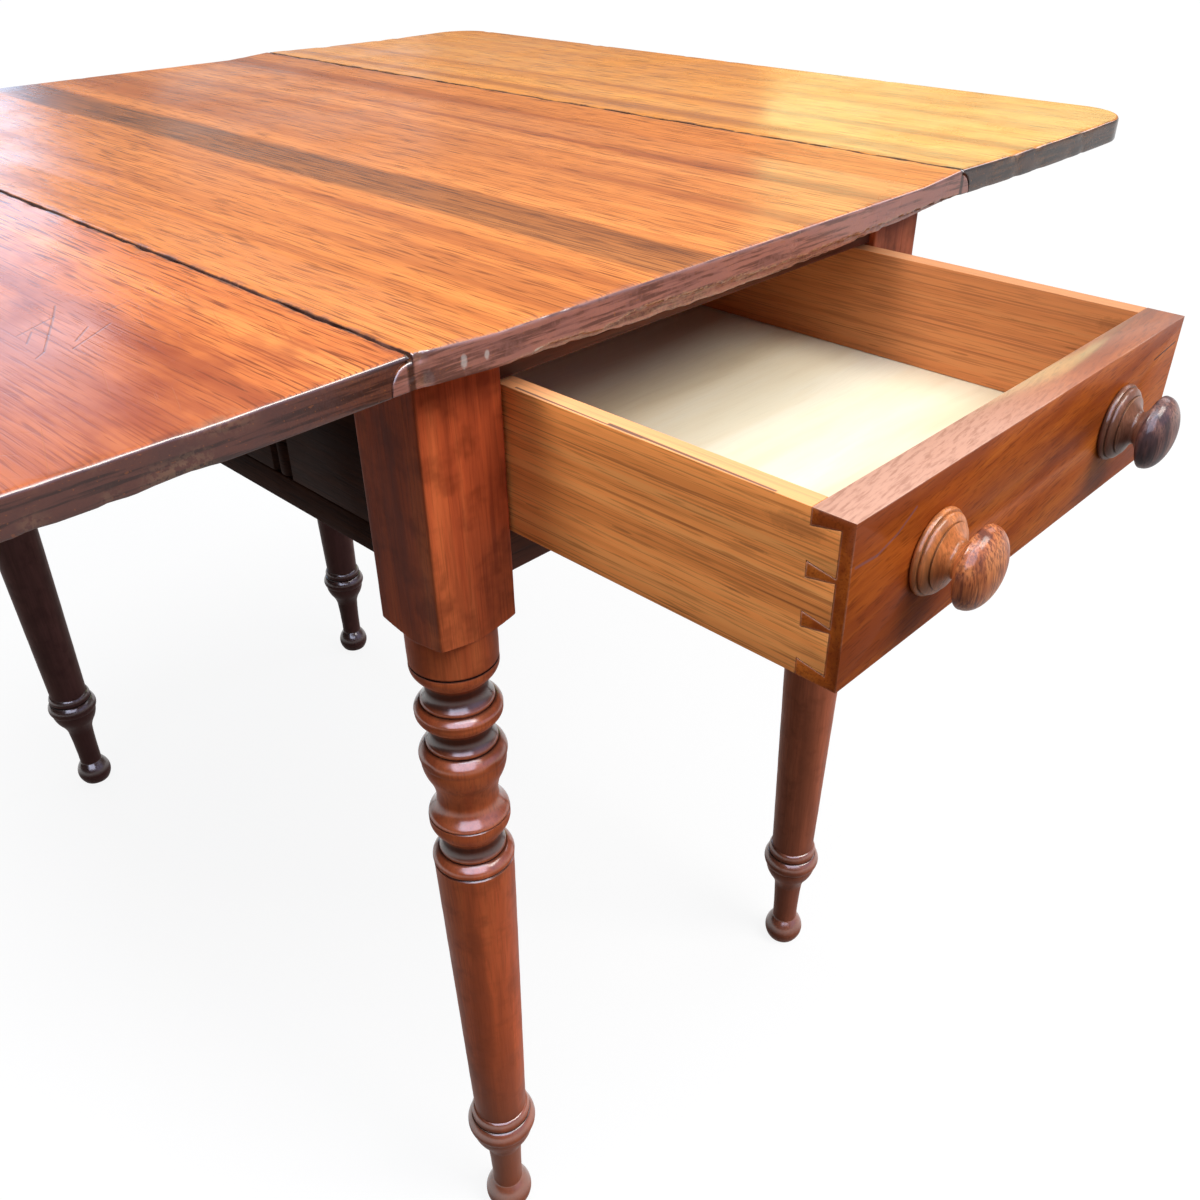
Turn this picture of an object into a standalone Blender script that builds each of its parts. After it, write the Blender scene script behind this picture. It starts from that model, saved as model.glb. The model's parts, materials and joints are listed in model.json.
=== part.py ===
"""A drop-leaf table with one drawer: four turned legs, a jointed frame, two leaves hinged on rule joints,
a fly bracket under each leaf, and a dovetailed drawer part open. Metres, +Z up, the drawer towards -Y."""

import math

import bmesh
import bpy
from mathutils import Matrix

# Driving sizes: boards
TABLE_HEIGHT = 0.722  # floor to the top's two joint edges
TOP_WIDTH = 0.440  # between the two joint lines
TOP_LENGTH = 0.812
LEAF_WIDTH = 0.270  # joint line to outer edge
LEAF_CORNER = 0.042  # radius of a leaf's two outer corners
BOARD = 0.016  # thickness of the top and the leaves
TOP_CUP = 0.008  # how far the middle of the aged top has sunk below its edges
LEAF_CUP = 0.0015

# Driving sizes: rule joint and hinges
JOINT_FILLET = 0.003  # square step above the quarter round
JOINT_RADIUS = 0.011  # quarter round of the top's edge, centred on the hinge pin
COVE_CLEAR = 0.0006  # between the quarter round and the leaf's hollow
JOINT_GAP = 0.0008  # between top and leaf at the surface
HINGE_INSET = 0.136  # board's end to a hinge's middle
HINGE_LENGTH = 0.060
KNUCKLE_RADIUS = 0.0035
HINGE_PIN_RADIUS = 0.0014
PLATE = 0.0018  # thickness of a hinge plate
TOP_PLATE_WIDTH = 0.034
LEAF_PLATE_WIDTH = 0.058
SCREW_HEAD_RADIUS = 0.0032
SCREW_SHANK_RADIUS = 0.0016
SCREW_LENGTH = 0.0090
SCREW_SPACING = 0.036  # between the two screws of a plate
SCREW_EDGE = 0.010  # from a plate's free edge to its screws

# Driving sizes: legs
LEG_SQUARE = 0.050
LEG_END_OVERHANG = 0.020  # top's end beyond the legs' end faces
LEAF_HANG_CLEAR = 0.0095  # hanging leaf to the legs' side faces
BLOCK_LENGTH = 0.141  # square block, from the underside at mid-top to the corners' ends

# Driving sizes: frame
APRON_DEPTH = 0.118  # underside at mid-top to the bottom of the rails
RAIL_THICK = 0.012  # inner side rails
END_RAIL_THICK = 0.020  # back rail
END_RAIL_SETBACK = 0.004  # end rails behind the legs' end faces
UPPER_RAIL = 0.013  # thickness of the rail over the drawer, at its middle
LOWER_RAIL = 0.025
DRAWER_RAIL_DEPTH = 0.040  # front to back, both drawer rails
TENON = 0.018  # length of every tenon and dovetail into a leg
TENON_THICK = 0.008
TENON_SHOULDER = 0.012  # rail edge to tenon edge
LOWER_TENON_WIDE = 0.018
LOWER_TENON_SETBACK = 0.007  # rail face to tenon face
DOVETAIL_ROOT = 0.020
DOVETAIL_END = 0.028
RUNNER_WIDE = 0.036
RUNNER_THICK = 0.016
GUIDE_HEIGHT = 0.020
KICKER_WIDE = 0.026
STOP_WIDE = 0.040
STOP_LONG = 0.012
STOP_HIGH = 0.006

# Driving sizes: fly brackets
FLY_THICK = 0.018
FLY_SETBACK = 0.0145  # outer face behind the legs' side faces
FLY_STRIP = 0.018  # height of the strip under the bracket
FLY_REACH = 0.098  # pin to the bracket's tip
FLY_FOOT = 0.082  # pin to where the lower corner starts to round
FLY_NOSE = 0.064  # height of the bracket's upright tip
FLY_TIP_CLEAR = 0.005  # folded tip to the front leg
FLY_HEAD_CLEAR = 0.0006  # bracket to the lowest board above it
FLY_PIN_RADIUS = 0.0028
FLY_FINGER_COUNT = 5  # alternate fingers of block and bracket
KNUCKLE_CLEAR = 0.0006

# Driving sizes: drawer
DRAWER_OPEN = 0.195  # how far out it stands
DRAWER_DEPTH = 0.610  # front face to back
DRAWER_FACE_SETBACK = 0.001
DRAWER_SIDE_CLEAR = 0.0015
DRAWER_HEAD_CLEAR = 0.0015
FRONT_THICK = 0.020
FRONT_LAP = 0.006  # wood in front of the tails
SIDE_THICK = 0.011
BACK_THICK = 0.011
BACK_DROP = 0.006  # back's top edge below the sides
BOTTOM_THICK = 0.006
BOTTOM_RISE = 0.008  # lower edge of the sides to the bottom's underside
GROOVE = 0.005
TAIL_PITCH = 0.0232
FRONT_TAIL_COUNT = 3
BACK_TAIL_COUNT = 2
PIN_NARROW = 0.0024  # between two tails at their ends
PIN_WIDE = 0.0080  # and at their roots
KNOB_INSET = 0.0655  # end of the drawer front to a knob's middle
KNOB_BASE_RADIUS = 0.0200
KNOB_NECK_RADIUS = 0.0085
KNOB_HEAD_RADIUS = 0.0188
KNOB_REACH = 0.030  # drawer face to the crown
KNOB_SPIGOT_RADIUS = 0.0060

FIT = 0.0003  # between pieces that touch
ROUND = 18  # segments of a turned piece

# Turned outline of a leg: distance, depth cut below the square stock's face, swell towards the next point
ABOVE_FLOOR = (
    (0.0000, 0.0110, 0.0046),
    (0.0255, 0.0130, 0.0000),
    (0.0265, 0.0137, -0.0004),
    (0.0720, 0.0122, -0.0008),
    (0.0860, 0.0065, 0.0010),
    (0.1005, 0.0022, 0.0000),
    (0.1012, 0.0012, 0.0022),
    (0.1145, 0.0035, 0.0000),
    (0.1150, 0.0047, 0.0000),
    (0.1157, 0.0040, 0.0010),
    (0.1235, 0.0054, 0.0000),
    (0.1240, 0.0062, 0.0000),
)
BELOW_BLOCK = (
    (0.1770, 0.0005, 0.0000),
    (0.1758, 0.0013, 0.0000),
    (0.1742, 0.0003, 0.0016),
    (0.1665, 0.0042, 0.0000),
    (0.1659, 0.0055, 0.0000),
    (0.1653, 0.0048, 0.0000),
    (0.1640, 0.0049, -0.0010),
    (0.1540, 0.0066, 0.0000),
    (0.1525, 0.0064, 0.0018),
    (0.1405, 0.0009, 0.0000),
    (0.1371, 0.0010, 0.0000),
    (0.1342, 0.0023, -0.0014),
    (0.1230, 0.0069, -0.0006),
    (0.1090, 0.0038, 0.0010),
    (0.0950, 0.0003, 0.0022),
    (0.0845, 0.0038, 0.0000),
    (0.0839, 0.0051, 0.0000),
    (0.0832, 0.0043, 0.0000),
    (0.0818, 0.0044, -0.0014),
    (0.0710, 0.0070, 0.0000),
    (0.0695, 0.0069, 0.0022),
    (0.0605, 0.0003, 0.0014),
    (0.0548, 0.0035, 0.0000),
    (0.0542, 0.0048, 0.0000),
    (0.0536, 0.0042, 0.0000),
    (0.0524, 0.0043, -0.0016),
    (0.0405, 0.0074, 0.0000),
    (0.0392, 0.0073, 0.0024),
    (0.0270, 0.0003, 0.0000),
    (0.0263, 0.0012, 0.0000),
    (0.0256, 0.0002, 0.0000),
    (0.0040, 0.0002, 0.0000),
)

# Places worked out from the sizes
JOINT_X = TOP_WIDTH / 2
TOP_END = TOP_LENGTH / 2
PIN_Z = TABLE_HEIGHT - JOINT_FILLET - JOINT_RADIUS
BOARD_UNDER = TABLE_HEIGHT - BOARD
PIN_RISE = PIN_Z - BOARD_UNDER  # hinge pin above the undersides
LEG_OUT = JOINT_X - PIN_RISE - LEAF_CUP - LEAF_HANG_CLEAR
LEG_X = LEG_OUT - LEG_SQUARE / 2
LEG_IN = LEG_OUT - LEG_SQUARE
LEG_END = TOP_END - LEG_END_OVERHANG
LEG_Y = LEG_END - LEG_SQUARE / 2
LEG_BACK = LEG_END - LEG_SQUARE  # the faces of the legs that look along the sides
FRAME_TOP = BOARD_UNDER - TOP_CUP
RAIL_LOW = FRAME_TOP - APRON_DEPTH
BLOCK_END = FRAME_TOP - BLOCK_LENGTH
FLY_OUT = LEG_OUT - FLY_SETBACK
FLY_X = FLY_OUT - FLY_THICK / 2
RAIL_OUT = FLY_OUT - FLY_THICK - FIT
RAIL_IN = RAIL_OUT - RAIL_THICK
UPPER_LOW = FRAME_TOP - UPPER_RAIL
RUN_Z = RAIL_LOW + LOWER_RAIL
DRAWER_LOW = RUN_Z + FIT
DRAWER_HIGH = UPPER_LOW - DRAWER_HEAD_CLEAR
DRAWER_X = LEG_IN - DRAWER_SIDE_CLEAR
FACE_Y = -LEG_END + DRAWER_FACE_SETBACK
BOTTOM_Z = DRAWER_LOW + BOTTOM_RISE
FLY_LOW = RAIL_LOW + FLY_STRIP + FIT
FLY_SAG = max(LEAF_CUP, TOP_CUP * (1 - (RAIL_OUT / JOINT_X) ** 2))
FLY_HIGH = BOARD_UNDER - FLY_SAG - FLY_HEAD_CLEAR
FLY_Y = -LEG_BACK + FLY_TIP_CLEAR + FLY_REACH
RAIL_Y = -LEG_END + END_RAIL_SETBACK
CENTRE_SHIFT = (KNOB_REACH + DRAWER_OPEN - FACE_Y - TOP_END) / 2  # brings the object's middle to Y = 0

for item in list(bpy.data.objects):
    bpy.data.objects.remove(item, do_unlink=True)


def finish(name, colour, roughness, metallic=0.0):
    material = bpy.data.materials.new(name)
    material.use_nodes = True
    shader = material.node_tree.nodes["Principled BSDF"]
    shader.inputs["Base Color"].default_value = (*colour, 1)
    shader.inputs["Roughness"].default_value = roughness
    shader.inputs["Metallic"].default_value = metallic
    return material


TOP_WOOD = finish("polished_mahogany_top", (0.30, 0.085, 0.030), 0.28)
LEG_WOOD = finish("turned_mahogany", (0.17, 0.035, 0.014), 0.25)
FRAME_WOOD = finish("frame_hardwood", (0.12, 0.038, 0.017), 0.55)
DRAWER_WOOD = finish("drawer_side_wood", (0.27, 0.105, 0.034), 0.50)
FRONT_WOOD = finish("drawer_front_mahogany", (0.24, 0.060, 0.020), 0.32)
PLY_WOOD = finish("pale_plywood", (0.80, 0.66, 0.42), 0.60)
KNOB_WOOD = finish("turned_knob_wood", (0.22, 0.075, 0.028), 0.35)
BRASS = finish("old_brass", (0.46, 0.33, 0.15), 0.38, 1.0)
STEEL = finish("dark_steel", (0.24, 0.23, 0.22), 0.42, 1.0)


def empty(name, place, parent=None):
    holder = bpy.data.objects.new(name, None)
    holder.location = place
    holder.parent = parent
    bpy.context.scene.collection.objects.link(holder)
    return holder


TABLE = empty("table", (0, CENTRE_SHIFT, 0))
DRAWER = empty("drawer_slide_axis", (0, -DRAWER_OPEN, 0), TABLE)
SIDES = ((-1, "left"), (1, "right"))
ENDS = ((-1, "front"), (1, "back"))
LEAVES = {side: empty(f"{name}_leaf_axis", (side * JOINT_X, 0, PIN_Z), TABLE) for side, name in SIDES}
FLIES = {side: empty(f"{name}_fly_axis", (side * FLY_X, FLY_Y, 0), TABLE) for side, name in SIDES}


def as_object(name, shape, material=None, parent=TABLE):
    """A bmesh drawn in the table's own coordinates becomes an object, held by the empty it moves with."""
    bmesh.ops.recalc_face_normals(shape, faces=shape.faces)
    mesh = bpy.data.meshes.new(name)
    shape.to_mesh(mesh)
    shape.free()
    thing = bpy.data.objects.new(name, mesh)
    bpy.context.scene.collection.objects.link(thing)
    thing.parent = parent
    if parent in (*LEAVES.values(), *FLIES.values()):
        thing.location = -parent.location
    if material:
        mesh.materials.append(material)
    return thing


def box(low, high, into=None):
    shape = into or bmesh.new()
    size = [b - a for a, b in zip(low, high)]
    middle = [(a + b) / 2 for a, b in zip(low, high)]
    place = Matrix.Translation(middle) @ Matrix.Diagonal((*size, 1))
    bmesh.ops.create_cube(shape, size=1, matrix=place)
    return shape


def side_box(side, low, high, into=None):
    """A box given for the +X side, mirrored to the -X side where side is -1."""
    xs = sorted((side * low[0], side * high[0]))
    return box((xs[0], low[1], low[2]), (xs[1], high[1], high[2]), into)


def prism(outline, axis, start, end, into=None):
    """An outline extruded along an axis. For x its points are (y, z), for y (x, z) and for z (x, y)."""
    shape = into or bmesh.new()

    def spread(a, b, t):
        return {"x": (t, a, b), "y": (a, t, b), "z": (a, b, t)}[axis]

    face = shape.faces.new([shape.verts.new(spread(a, b, start)) for a, b in outline])
    grown = bmesh.ops.extrude_face_region(shape, geom=[face])
    corners = [part for part in grown["geom"] if isinstance(part, bmesh.types.BMVert)]
    bmesh.ops.translate(shape, verts=corners, vec=spread(0, 0, end - start))
    return shape


def turned(outline, place, segments=ROUND, into=None):
    """Points (height, radius) from one end to the other, spun about +Z and then placed by a matrix."""
    shape = into or bmesh.new()
    chain = [shape.verts.new((radius, 0, height)) for height, radius in outline]
    edges = [shape.edges.new(pair) for pair in zip(chain, chain[1:])]
    turn = {"axis": (0, 0, 1), "cent": (0, 0, 0), "angle": math.tau, "steps": segments, "use_merge": True}
    bmesh.ops.spin(shape, geom=chain + edges, **turn)
    made = walk(chain[0])
    rims = [edge for edge in shape.edges if edge.is_boundary and edge.verts[0] in made]
    bmesh.ops.holes_fill(shape, edges=rims, sides=segments)
    bmesh.ops.transform(shape, matrix=place, verts=list(made))
    return shape


def walk(first):
    """Every corner joined by edges to the first one."""
    found, queue = {first}, [first]
    while queue:
        for edge in queue.pop().link_edges:
            for corner in edge.verts:
                if corner not in found:
                    found.add(corner)
                    queue.append(corner)
    return found


def along(axis, point):
    """A placing matrix that sends +Z to the named direction and the origin to the point."""
    turn = {
        "+z": Matrix.Identity(4),
        "-y": Matrix.Rotation(math.pi / 2, 4, "X"),
        "+y": Matrix.Rotation(-math.pi / 2, 4, "X"),
    }[axis]
    return Matrix.Translation(point) @ turn


def rod(radius, length, axis, point, segments=ROUND, into=None):
    return turned(((0, radius), (length, radius)), along(axis, point), segments, into)


def smooth(thing):
    for face in thing.data.polygons:
        face.use_smooth = True
    thing.data.set_sharp_from_angle(angle=math.radians(35))
    return thing


def boolean(target, operation, shape, name):
    """A modifier on the target, with its tool kept out of the render."""
    tool = as_object(name, shape, None, target.parent)
    tool.hide_render = True
    tool.display_type = "WIRE"
    modifier = target.modifiers.new(name, "BOOLEAN")
    modifier.operation = operation
    modifier.object = tool
    return target


def swell(points, steps=3):
    """Straight or bowed stretches between (distance, radius, swell) points, drawn as (distance, radius)."""
    drawn = []
    for (h0, r0, bow), (h1, r1, _) in zip(points, points[1:]):
        drawn.append((h0, r0))
        if bow:
            for step in range(1, steps):
                t = step / steps
                drawn.append((h0 + (h1 - h0) * t, r0 + (r1 - r0) * t + bow * 4 * t * (1 - t)))
    drawn.append(points[-1][:2])
    return drawn


def arc(centre, radius, start, end, steps):
    """Points on a circle from one angle to another, in degrees."""
    angles = (math.radians(start + (end - start) * step / steps) for step in range(steps + 1))
    return [(centre[0] + radius * math.cos(a), centre[1] + radius * math.sin(a)) for a in angles]


# Cupped boards
def top_sag(x):
    return -TOP_CUP * max(0.0, 1 - (x / JOINT_X) ** 2)


def leaf_sag(x):
    """x is measured out from the joint line."""
    half = LEAF_WIDTH / 2
    return -LEAF_CUP * max(0.0, 1 - ((x - half) / half) ** 2)


def under(x):
    """Height of a piece that carries the top, at x."""
    return BOARD_UNDER + top_sag(x) - FIT


def under_arc(start, end, steps=8):
    xs = [start + (end - start) * step / steps for step in range(steps + 1)]
    return [(x, under(x)) for x in xs]


# Legs
def leg_outline():
    half = LEG_SQUARE / 2
    corner = half * math.sqrt(2)
    foot = [(height, half - cut, bow) for height, cut, bow in ABOVE_FLOOR]
    neck = [(BLOCK_END - drop, half - cut, bow) for drop, cut, bow in BELOW_BLOCK]
    block = [(BLOCK_END, corner, 0), (TABLE_HEIGHT, corner * 1.02, 0)]
    return swell(foot + neck + block)


def dovetail(side, grow):
    """Plan of the upper rail's dovetail into a front leg."""
    middle = RAIL_Y + DRAWER_RAIL_DEPTH / 2
    root, end = DOVETAIL_ROOT / 2 + grow, DOVETAIL_END / 2 + grow
    inner, tip = side * (LEG_IN - FIT - 0.001), side * (LEG_IN + TENON + grow)
    return [(inner, middle - root), (tip, middle - end), (tip, middle + end), (inner, middle + root)]


def side_tenon(side, end, grow):
    """Box of a side rail's tenon into the leg at that end."""
    middle = (RAIL_OUT + RAIL_IN) / 2
    ys = sorted((end * (LEG_BACK - FIT - 0.001), end * (LEG_BACK + TENON + grow)))
    low = (middle - TENON_THICK / 2 - grow, ys[0], RAIL_LOW + TENON_SHOULDER - grow)
    high = (middle + TENON_THICK / 2 + grow, ys[1], UPPER_LOW - TENON_SHOULDER / 2 + grow)
    return side_box(side, low, high)


def back_tenon(side, grow):
    middle = LEG_END - END_RAIL_SETBACK - END_RAIL_THICK / 2
    low = (LEG_IN - FIT - 0.001, middle - TENON_THICK / 2 - grow, RAIL_LOW + TENON_SHOULDER - grow)
    high = (LEG_IN + TENON + grow, middle + TENON_THICK / 2 + grow, UPPER_LOW - TENON_SHOULDER / 2 + grow)
    return side_box(side, low, high)


def lower_tenon(side, grow):
    front = RAIL_Y + LOWER_TENON_SETBACK
    middle = RAIL_LOW + LOWER_RAIL / 2
    low = (LEG_IN - FIT - 0.001, front - grow, middle - TENON_THICK / 2 - grow)
    high = (LEG_IN + TENON + grow, front + LOWER_TENON_WIDE + grow, middle + TENON_THICK / 2 + grow)
    return side_box(side, low, high)


for side, side_name in SIDES:
    for end, end_name in ENDS:
        half = LEG_SQUARE / 2
        shape = turned(leg_outline(), along("+z", (side * LEG_X, end * LEG_Y, 0)))
        leg = as_object(f"leg_{end_name}_{side_name}", shape, LEG_WOOD)
        xs = sorted((side * LEG_IN, side * LEG_OUT))
        square = [(xs[0], -LEG_SQUARE), (xs[1], -LEG_SQUARE), *under_arc(xs[1], xs[0], 3)]
        stock = prism(square, "y", end * LEG_Y - half, end * LEG_Y + half)
        boolean(leg, "INTERSECT", stock, "square_stock")
        boolean(leg, "DIFFERENCE", side_tenon(side, end, FIT), "side_mortise")
        if end < 0:
            boolean(leg, "DIFFERENCE", lower_tenon(side, FIT), "lower_rail_mortise")
            socket = prism(dovetail(side, FIT), "z", UPPER_LOW - FIT, TABLE_HEIGHT)
            boolean(leg, "DIFFERENCE", socket, "upper_rail_socket")
        else:
            boolean(leg, "DIFFERENCE", back_tenon(side, FIT), "back_mortise")
        smooth(leg)


# Frame rails
def frame_rail(name, low, high, tenons):
    """A rail across the table, its top edge fitted to the sunk top where high reaches it."""
    ends = LEG_IN - FIT
    outline = [(-ends, low), (ends, low)]
    outline += [(ends, high), (-ends, high)] if high else under_arc(ends, -ends, 12)
    front, back, shapes = tenons
    rail = as_object(name, prism(outline, "y", front, back), FRAME_WOOD)
    for count, shape in enumerate(shapes):
        boolean(rail, "UNION", shape, f"{name}_tenon_{count}")
    return rail


back_face = LEG_END - END_RAIL_SETBACK
back = (back_face - END_RAIL_THICK, back_face, [back_tenon(s, 0) for s, _ in SIDES])
frame_rail("back_rail", RAIL_LOW, None, back)
lower = (RAIL_Y, RAIL_Y + DRAWER_RAIL_DEPTH, [lower_tenon(s, 0) for s, _ in SIDES])
frame_rail("lower_drawer_rail", RAIL_LOW, RUN_Z, lower)
tails = [prism(dovetail(s, 0), "z", UPPER_LOW + FIT, under(LEG_IN)) for s, _ in SIDES]
frame_rail("upper_drawer_rail", UPPER_LOW, None, (RAIL_Y, RAIL_Y + DRAWER_RAIL_DEPTH, tails))

for side, side_name in SIDES:
    reach = LEG_BACK - FIT
    rail_high = under(RAIL_IN)
    shape = side_box(side, (RAIL_IN, -reach, RAIL_LOW), (RAIL_OUT, reach, rail_high))
    rail = as_object(f"side_rail_{side_name}", shape, FRAME_WOOD)
    for end, end_name in ENDS:
        boolean(rail, "UNION", side_tenon(side, end, 0), f"{end_name}_tenon")

    shape = side_box(side, (RAIL_OUT + FIT, -reach, RAIL_LOW), (FLY_OUT, reach, RAIL_LOW + FLY_STRIP))
    as_object(f"side_strip_{side_name}", shape, FRAME_WOOD)

    inner = RAIL_IN - FIT
    guide = DRAWER_X + DRAWER_SIDE_CLEAR / 2
    edge = inner - RUNNER_WIDE
    section = [(edge, RUN_Z - RUNNER_THICK), (inner, RUN_Z - RUNNER_THICK), (inner, RUN_Z + GUIDE_HEIGHT)]
    section += [(guide, RUN_Z + GUIDE_HEIGHT), (guide, RUN_Z), (edge, RUN_Z)]
    shape = prism([(side * x, z) for x, z in section], "y", -reach, reach)
    as_object(f"drawer_runner_{side_name}", shape, FRAME_WOOD)

    edge = inner - KICKER_WIDE
    shape = side_box(side, (edge, -reach, UPPER_LOW), (inner, reach, under(edge)))
    as_object(f"drawer_kicker_{side_name}", shape, FRAME_WOOD)

stop_y = FACE_Y + FRONT_THICK + FIT
stop_low = (-STOP_WIDE / 2, stop_y, RUN_Z + FIT)
stop_high = (STOP_WIDE / 2, stop_y + STOP_LONG, RUN_Z + FIT + STOP_HIGH)
as_object("drawer_stop", box(stop_low, stop_high), FRAME_WOOD)


# Fly brackets: a fixed block and a bracket meet in a wooden knuckle on a vertical steel pin
def knuckle_levels(odd):
    """Heights of every second finger: the bracket's are the odd ones."""
    step = (FLY_HIGH - FLY_LOW) / FLY_FINGER_COUNT
    return [(FLY_LOW + n * step, FLY_LOW + (n + 1) * step) for n in range(odd, FLY_FINGER_COUNT, 2)]


def clear_fingers(side, odd):
    """Room for the other piece's fingers."""
    shape = bmesh.new()
    for low, high in knuckle_levels(odd):
        first = low - (FLY_THICK if low == FLY_LOW else KNUCKLE_CLEAR / 2)
        last = high + (FLY_THICK if high > FLY_HIGH - FIT else KNUCKLE_CLEAR / 2)
        rod(FLY_THICK / 2 + KNUCKLE_CLEAR, last - first, "+z", (side * FLY_X, FLY_Y, first), ROUND, shape)
    return shape


def pin_hole(side):
    low = FLY_LOW - FLY_THICK
    return rod(FLY_PIN_RADIUS + FIT, FLY_HIGH - low + FLY_THICK, "+z", (side * FLY_X, FLY_Y, low))


def fly_plan(side, far, way):
    """Plan of a fly piece: a board with right-angled shoulders and a round barrel on the pin.
    way is +1 where the board runs to the back, -1 to the front."""
    half, nose = FLY_THICK / 2, KNUCKLE_CLEAR
    meet = (math.sqrt(2 * half**2 - nose**2) - nose) / 2
    turn = math.degrees(math.atan2(meet + nose, meet))
    barrel = arc((0, 0), half, turn, turn - 360 + 2 * (90 - turn), 14)
    plan = [(-half, far), (half, far), (half, half + nose), *barrel, (-half, half + nose)]
    return [(side * FLY_X + x, FLY_Y + way * y) for x, y in plan]


def bracket_side():
    """Side view of the bracket: a long top edge, an upright tip and a lower corner rounded as an ellipse."""
    rise = FLY_HIGH - FLY_NOSE - FLY_LOW
    corner = []
    for step in range(9):
        turn = math.radians(90 * step / 8)
        reach = FLY_FOOT + (FLY_REACH - FLY_FOOT) * math.sin(turn)
        corner.append((FLY_Y - reach, FLY_LOW + rise * (1 - math.cos(turn))))
    back = FLY_Y + FLY_THICK
    return [(back, FLY_LOW), *corner, (FLY_Y - FLY_REACH, FLY_HIGH), (back, FLY_HIGH)]


for side, side_name in SIDES:
    shape = prism(fly_plan(side, LEG_BACK - FIT - FLY_Y, 1), "z", FLY_LOW, FLY_HIGH)
    block = as_object(f"fly_block_{side_name}", shape, FRAME_WOOD)
    boolean(block, "DIFFERENCE", clear_fingers(side, 1), "finger_room")
    boolean(block, "DIFFERENCE", pin_hole(side), "pin_hole")
    smooth(block)

    shape = prism(fly_plan(side, FLY_REACH + FLY_THICK, -1), "z", FLY_LOW - FLY_THICK, FLY_HIGH + FLY_THICK)
    bracket = as_object(f"fly_bracket_{side_name}", shape, FRAME_WOOD, FLIES[side])
    span = sorted((side * (FLY_X - FLY_THICK), side * (FLY_X + FLY_THICK)))
    boolean(bracket, "INTERSECT", prism(bracket_side(), "x", *span), "side_view")
    boolean(bracket, "DIFFERENCE", clear_fingers(side, 0), "finger_room")
    boolean(bracket, "DIFFERENCE", pin_hole(side), "pin_hole")
    smooth(bracket)

    pin = rod(FLY_PIN_RADIUS, FLY_HIGH - FLY_LOW, "+z", (side * FLY_X, FLY_Y, FLY_LOW), 12)
    smooth(as_object(f"fly_pin_{side_name}", pin, STEEL))


# Hinges
def hinge_y(end):
    return end * (TOP_END - HINGE_INSET)


def plate_screws(side, end, on_leaf):
    """Places of a plate's two screws."""
    far = LEAF_PLATE_WIDTH if on_leaf else -TOP_PLATE_WIDTH
    x = side * (JOINT_X + far - math.copysign(SCREW_EDGE, far))
    return [(x, hinge_y(end) + way * SCREW_SPACING / 2) for way in (-1, 1)]


def screw_outline(grow=0.0):
    head = SCREW_HEAD_RADIUS - SCREW_SHANK_RADIUS
    tip = SCREW_LENGTH * 0.7
    shank = SCREW_SHANK_RADIUS + grow
    start = -PLATE if grow else 0
    rim = SCREW_HEAD_RADIUS + grow
    point = SCREW_SHANK_RADIUS * 0.25 + grow
    return [(start, rim), (FIT, rim), (head + FIT, shank), (tip, shank), (SCREW_LENGTH + grow, point)]


def all_screws(side, end, on_leaf, grow, into=None):
    shape = into or bmesh.new()
    for x, y in plate_screws(side, end, on_leaf):
        turned(screw_outline(grow), along("+z", (x, y, BOARD_UNDER)), 10, shape)
    return shape


def knuckle_zone(count, trim):
    """Start and end, along the hinge, of its three knuckles."""
    step = HINGE_LENGTH / 3
    return (-HINGE_LENGTH / 2 + count * step + trim, -HINGE_LENGTH / 2 + (count + 1) * step - trim)


def plate_plan(width, own):
    """Plan of a plate as (distance from the pin, distance along it), with straps to its own knuckles."""
    half, clear = HINGE_LENGTH / 2, KNUCKLE_RADIUS + KNUCKLE_CLEAR
    inner = []
    for count in own:
        first, last = knuckle_zone(count, 2 * FIT)
        inner += [(clear, first), (0, first), (0, last), (clear, last)]
    return [(width, half), (width, -half), (clear, -half), *inner, (clear, half)]


def hinge_plate(name, side, end, on_leaf, parent):
    """A plate let into the underside, with its own knuckles round the pin."""
    way = side if on_leaf else -side
    own = (0, 2) if on_leaf else (1,)
    pin_x, y = side * JOINT_X, hinge_y(end)
    plan = plate_plan(LEAF_PLATE_WIDTH if on_leaf else TOP_PLATE_WIDTH, own)
    shape = prism([(pin_x + way * a, y + b) for a, b in plan], "z", BOARD_UNDER, BOARD_UNDER + PLATE)
    plate = as_object(name, shape, BRASS, parent)
    for count in own:
        first, last = knuckle_zone(count, FIT)
        shape = rod(KNUCKLE_RADIUS, last - first, "+y", (pin_x, y + first, PIN_Z), 16)
        boolean(plate, "UNION", shape, f"knuckle_{count}")
    shape = rod(HINGE_PIN_RADIUS + FIT, HINGE_LENGTH * 2, "+y", (pin_x, y - HINGE_LENGTH, PIN_Z), 12)
    boolean(plate, "DIFFERENCE", shape, "pin_bore")
    boolean(plate, "DIFFERENCE", all_screws(side, end, on_leaf, FIT), "screw_holes")
    return plate


for side, side_name in SIDES:
    for end, end_name in ENDS:
        place = f"{side_name}_{end_name}"
        hinge_plate(f"hinge_top_plate_{place}", side, end, False, TABLE)
        hinge_plate(f"hinge_leaf_plate_{place}", side, end, True, LEAVES[side])
        start = (side * JOINT_X, hinge_y(end) - HINGE_LENGTH / 2, PIN_Z)
        pin = rod(HINGE_PIN_RADIUS, HINGE_LENGTH, "+y", start, 12)
        smooth(as_object(f"hinge_pin_{place}", pin, STEEL))
        for on_leaf, board_name in ((False, "top"), (True, "leaf")):
            for count, (x, y) in enumerate(plate_screws(side, end, on_leaf), 1):
                shape = turned(screw_outline(), along("+z", (x, y, BOARD_UNDER)), 10)
                holder = LEAVES[side] if on_leaf else TABLE
                smooth(as_object(f"hinge_screw_{board_name}_{place}_{count}", shape, STEEL, holder))


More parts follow.
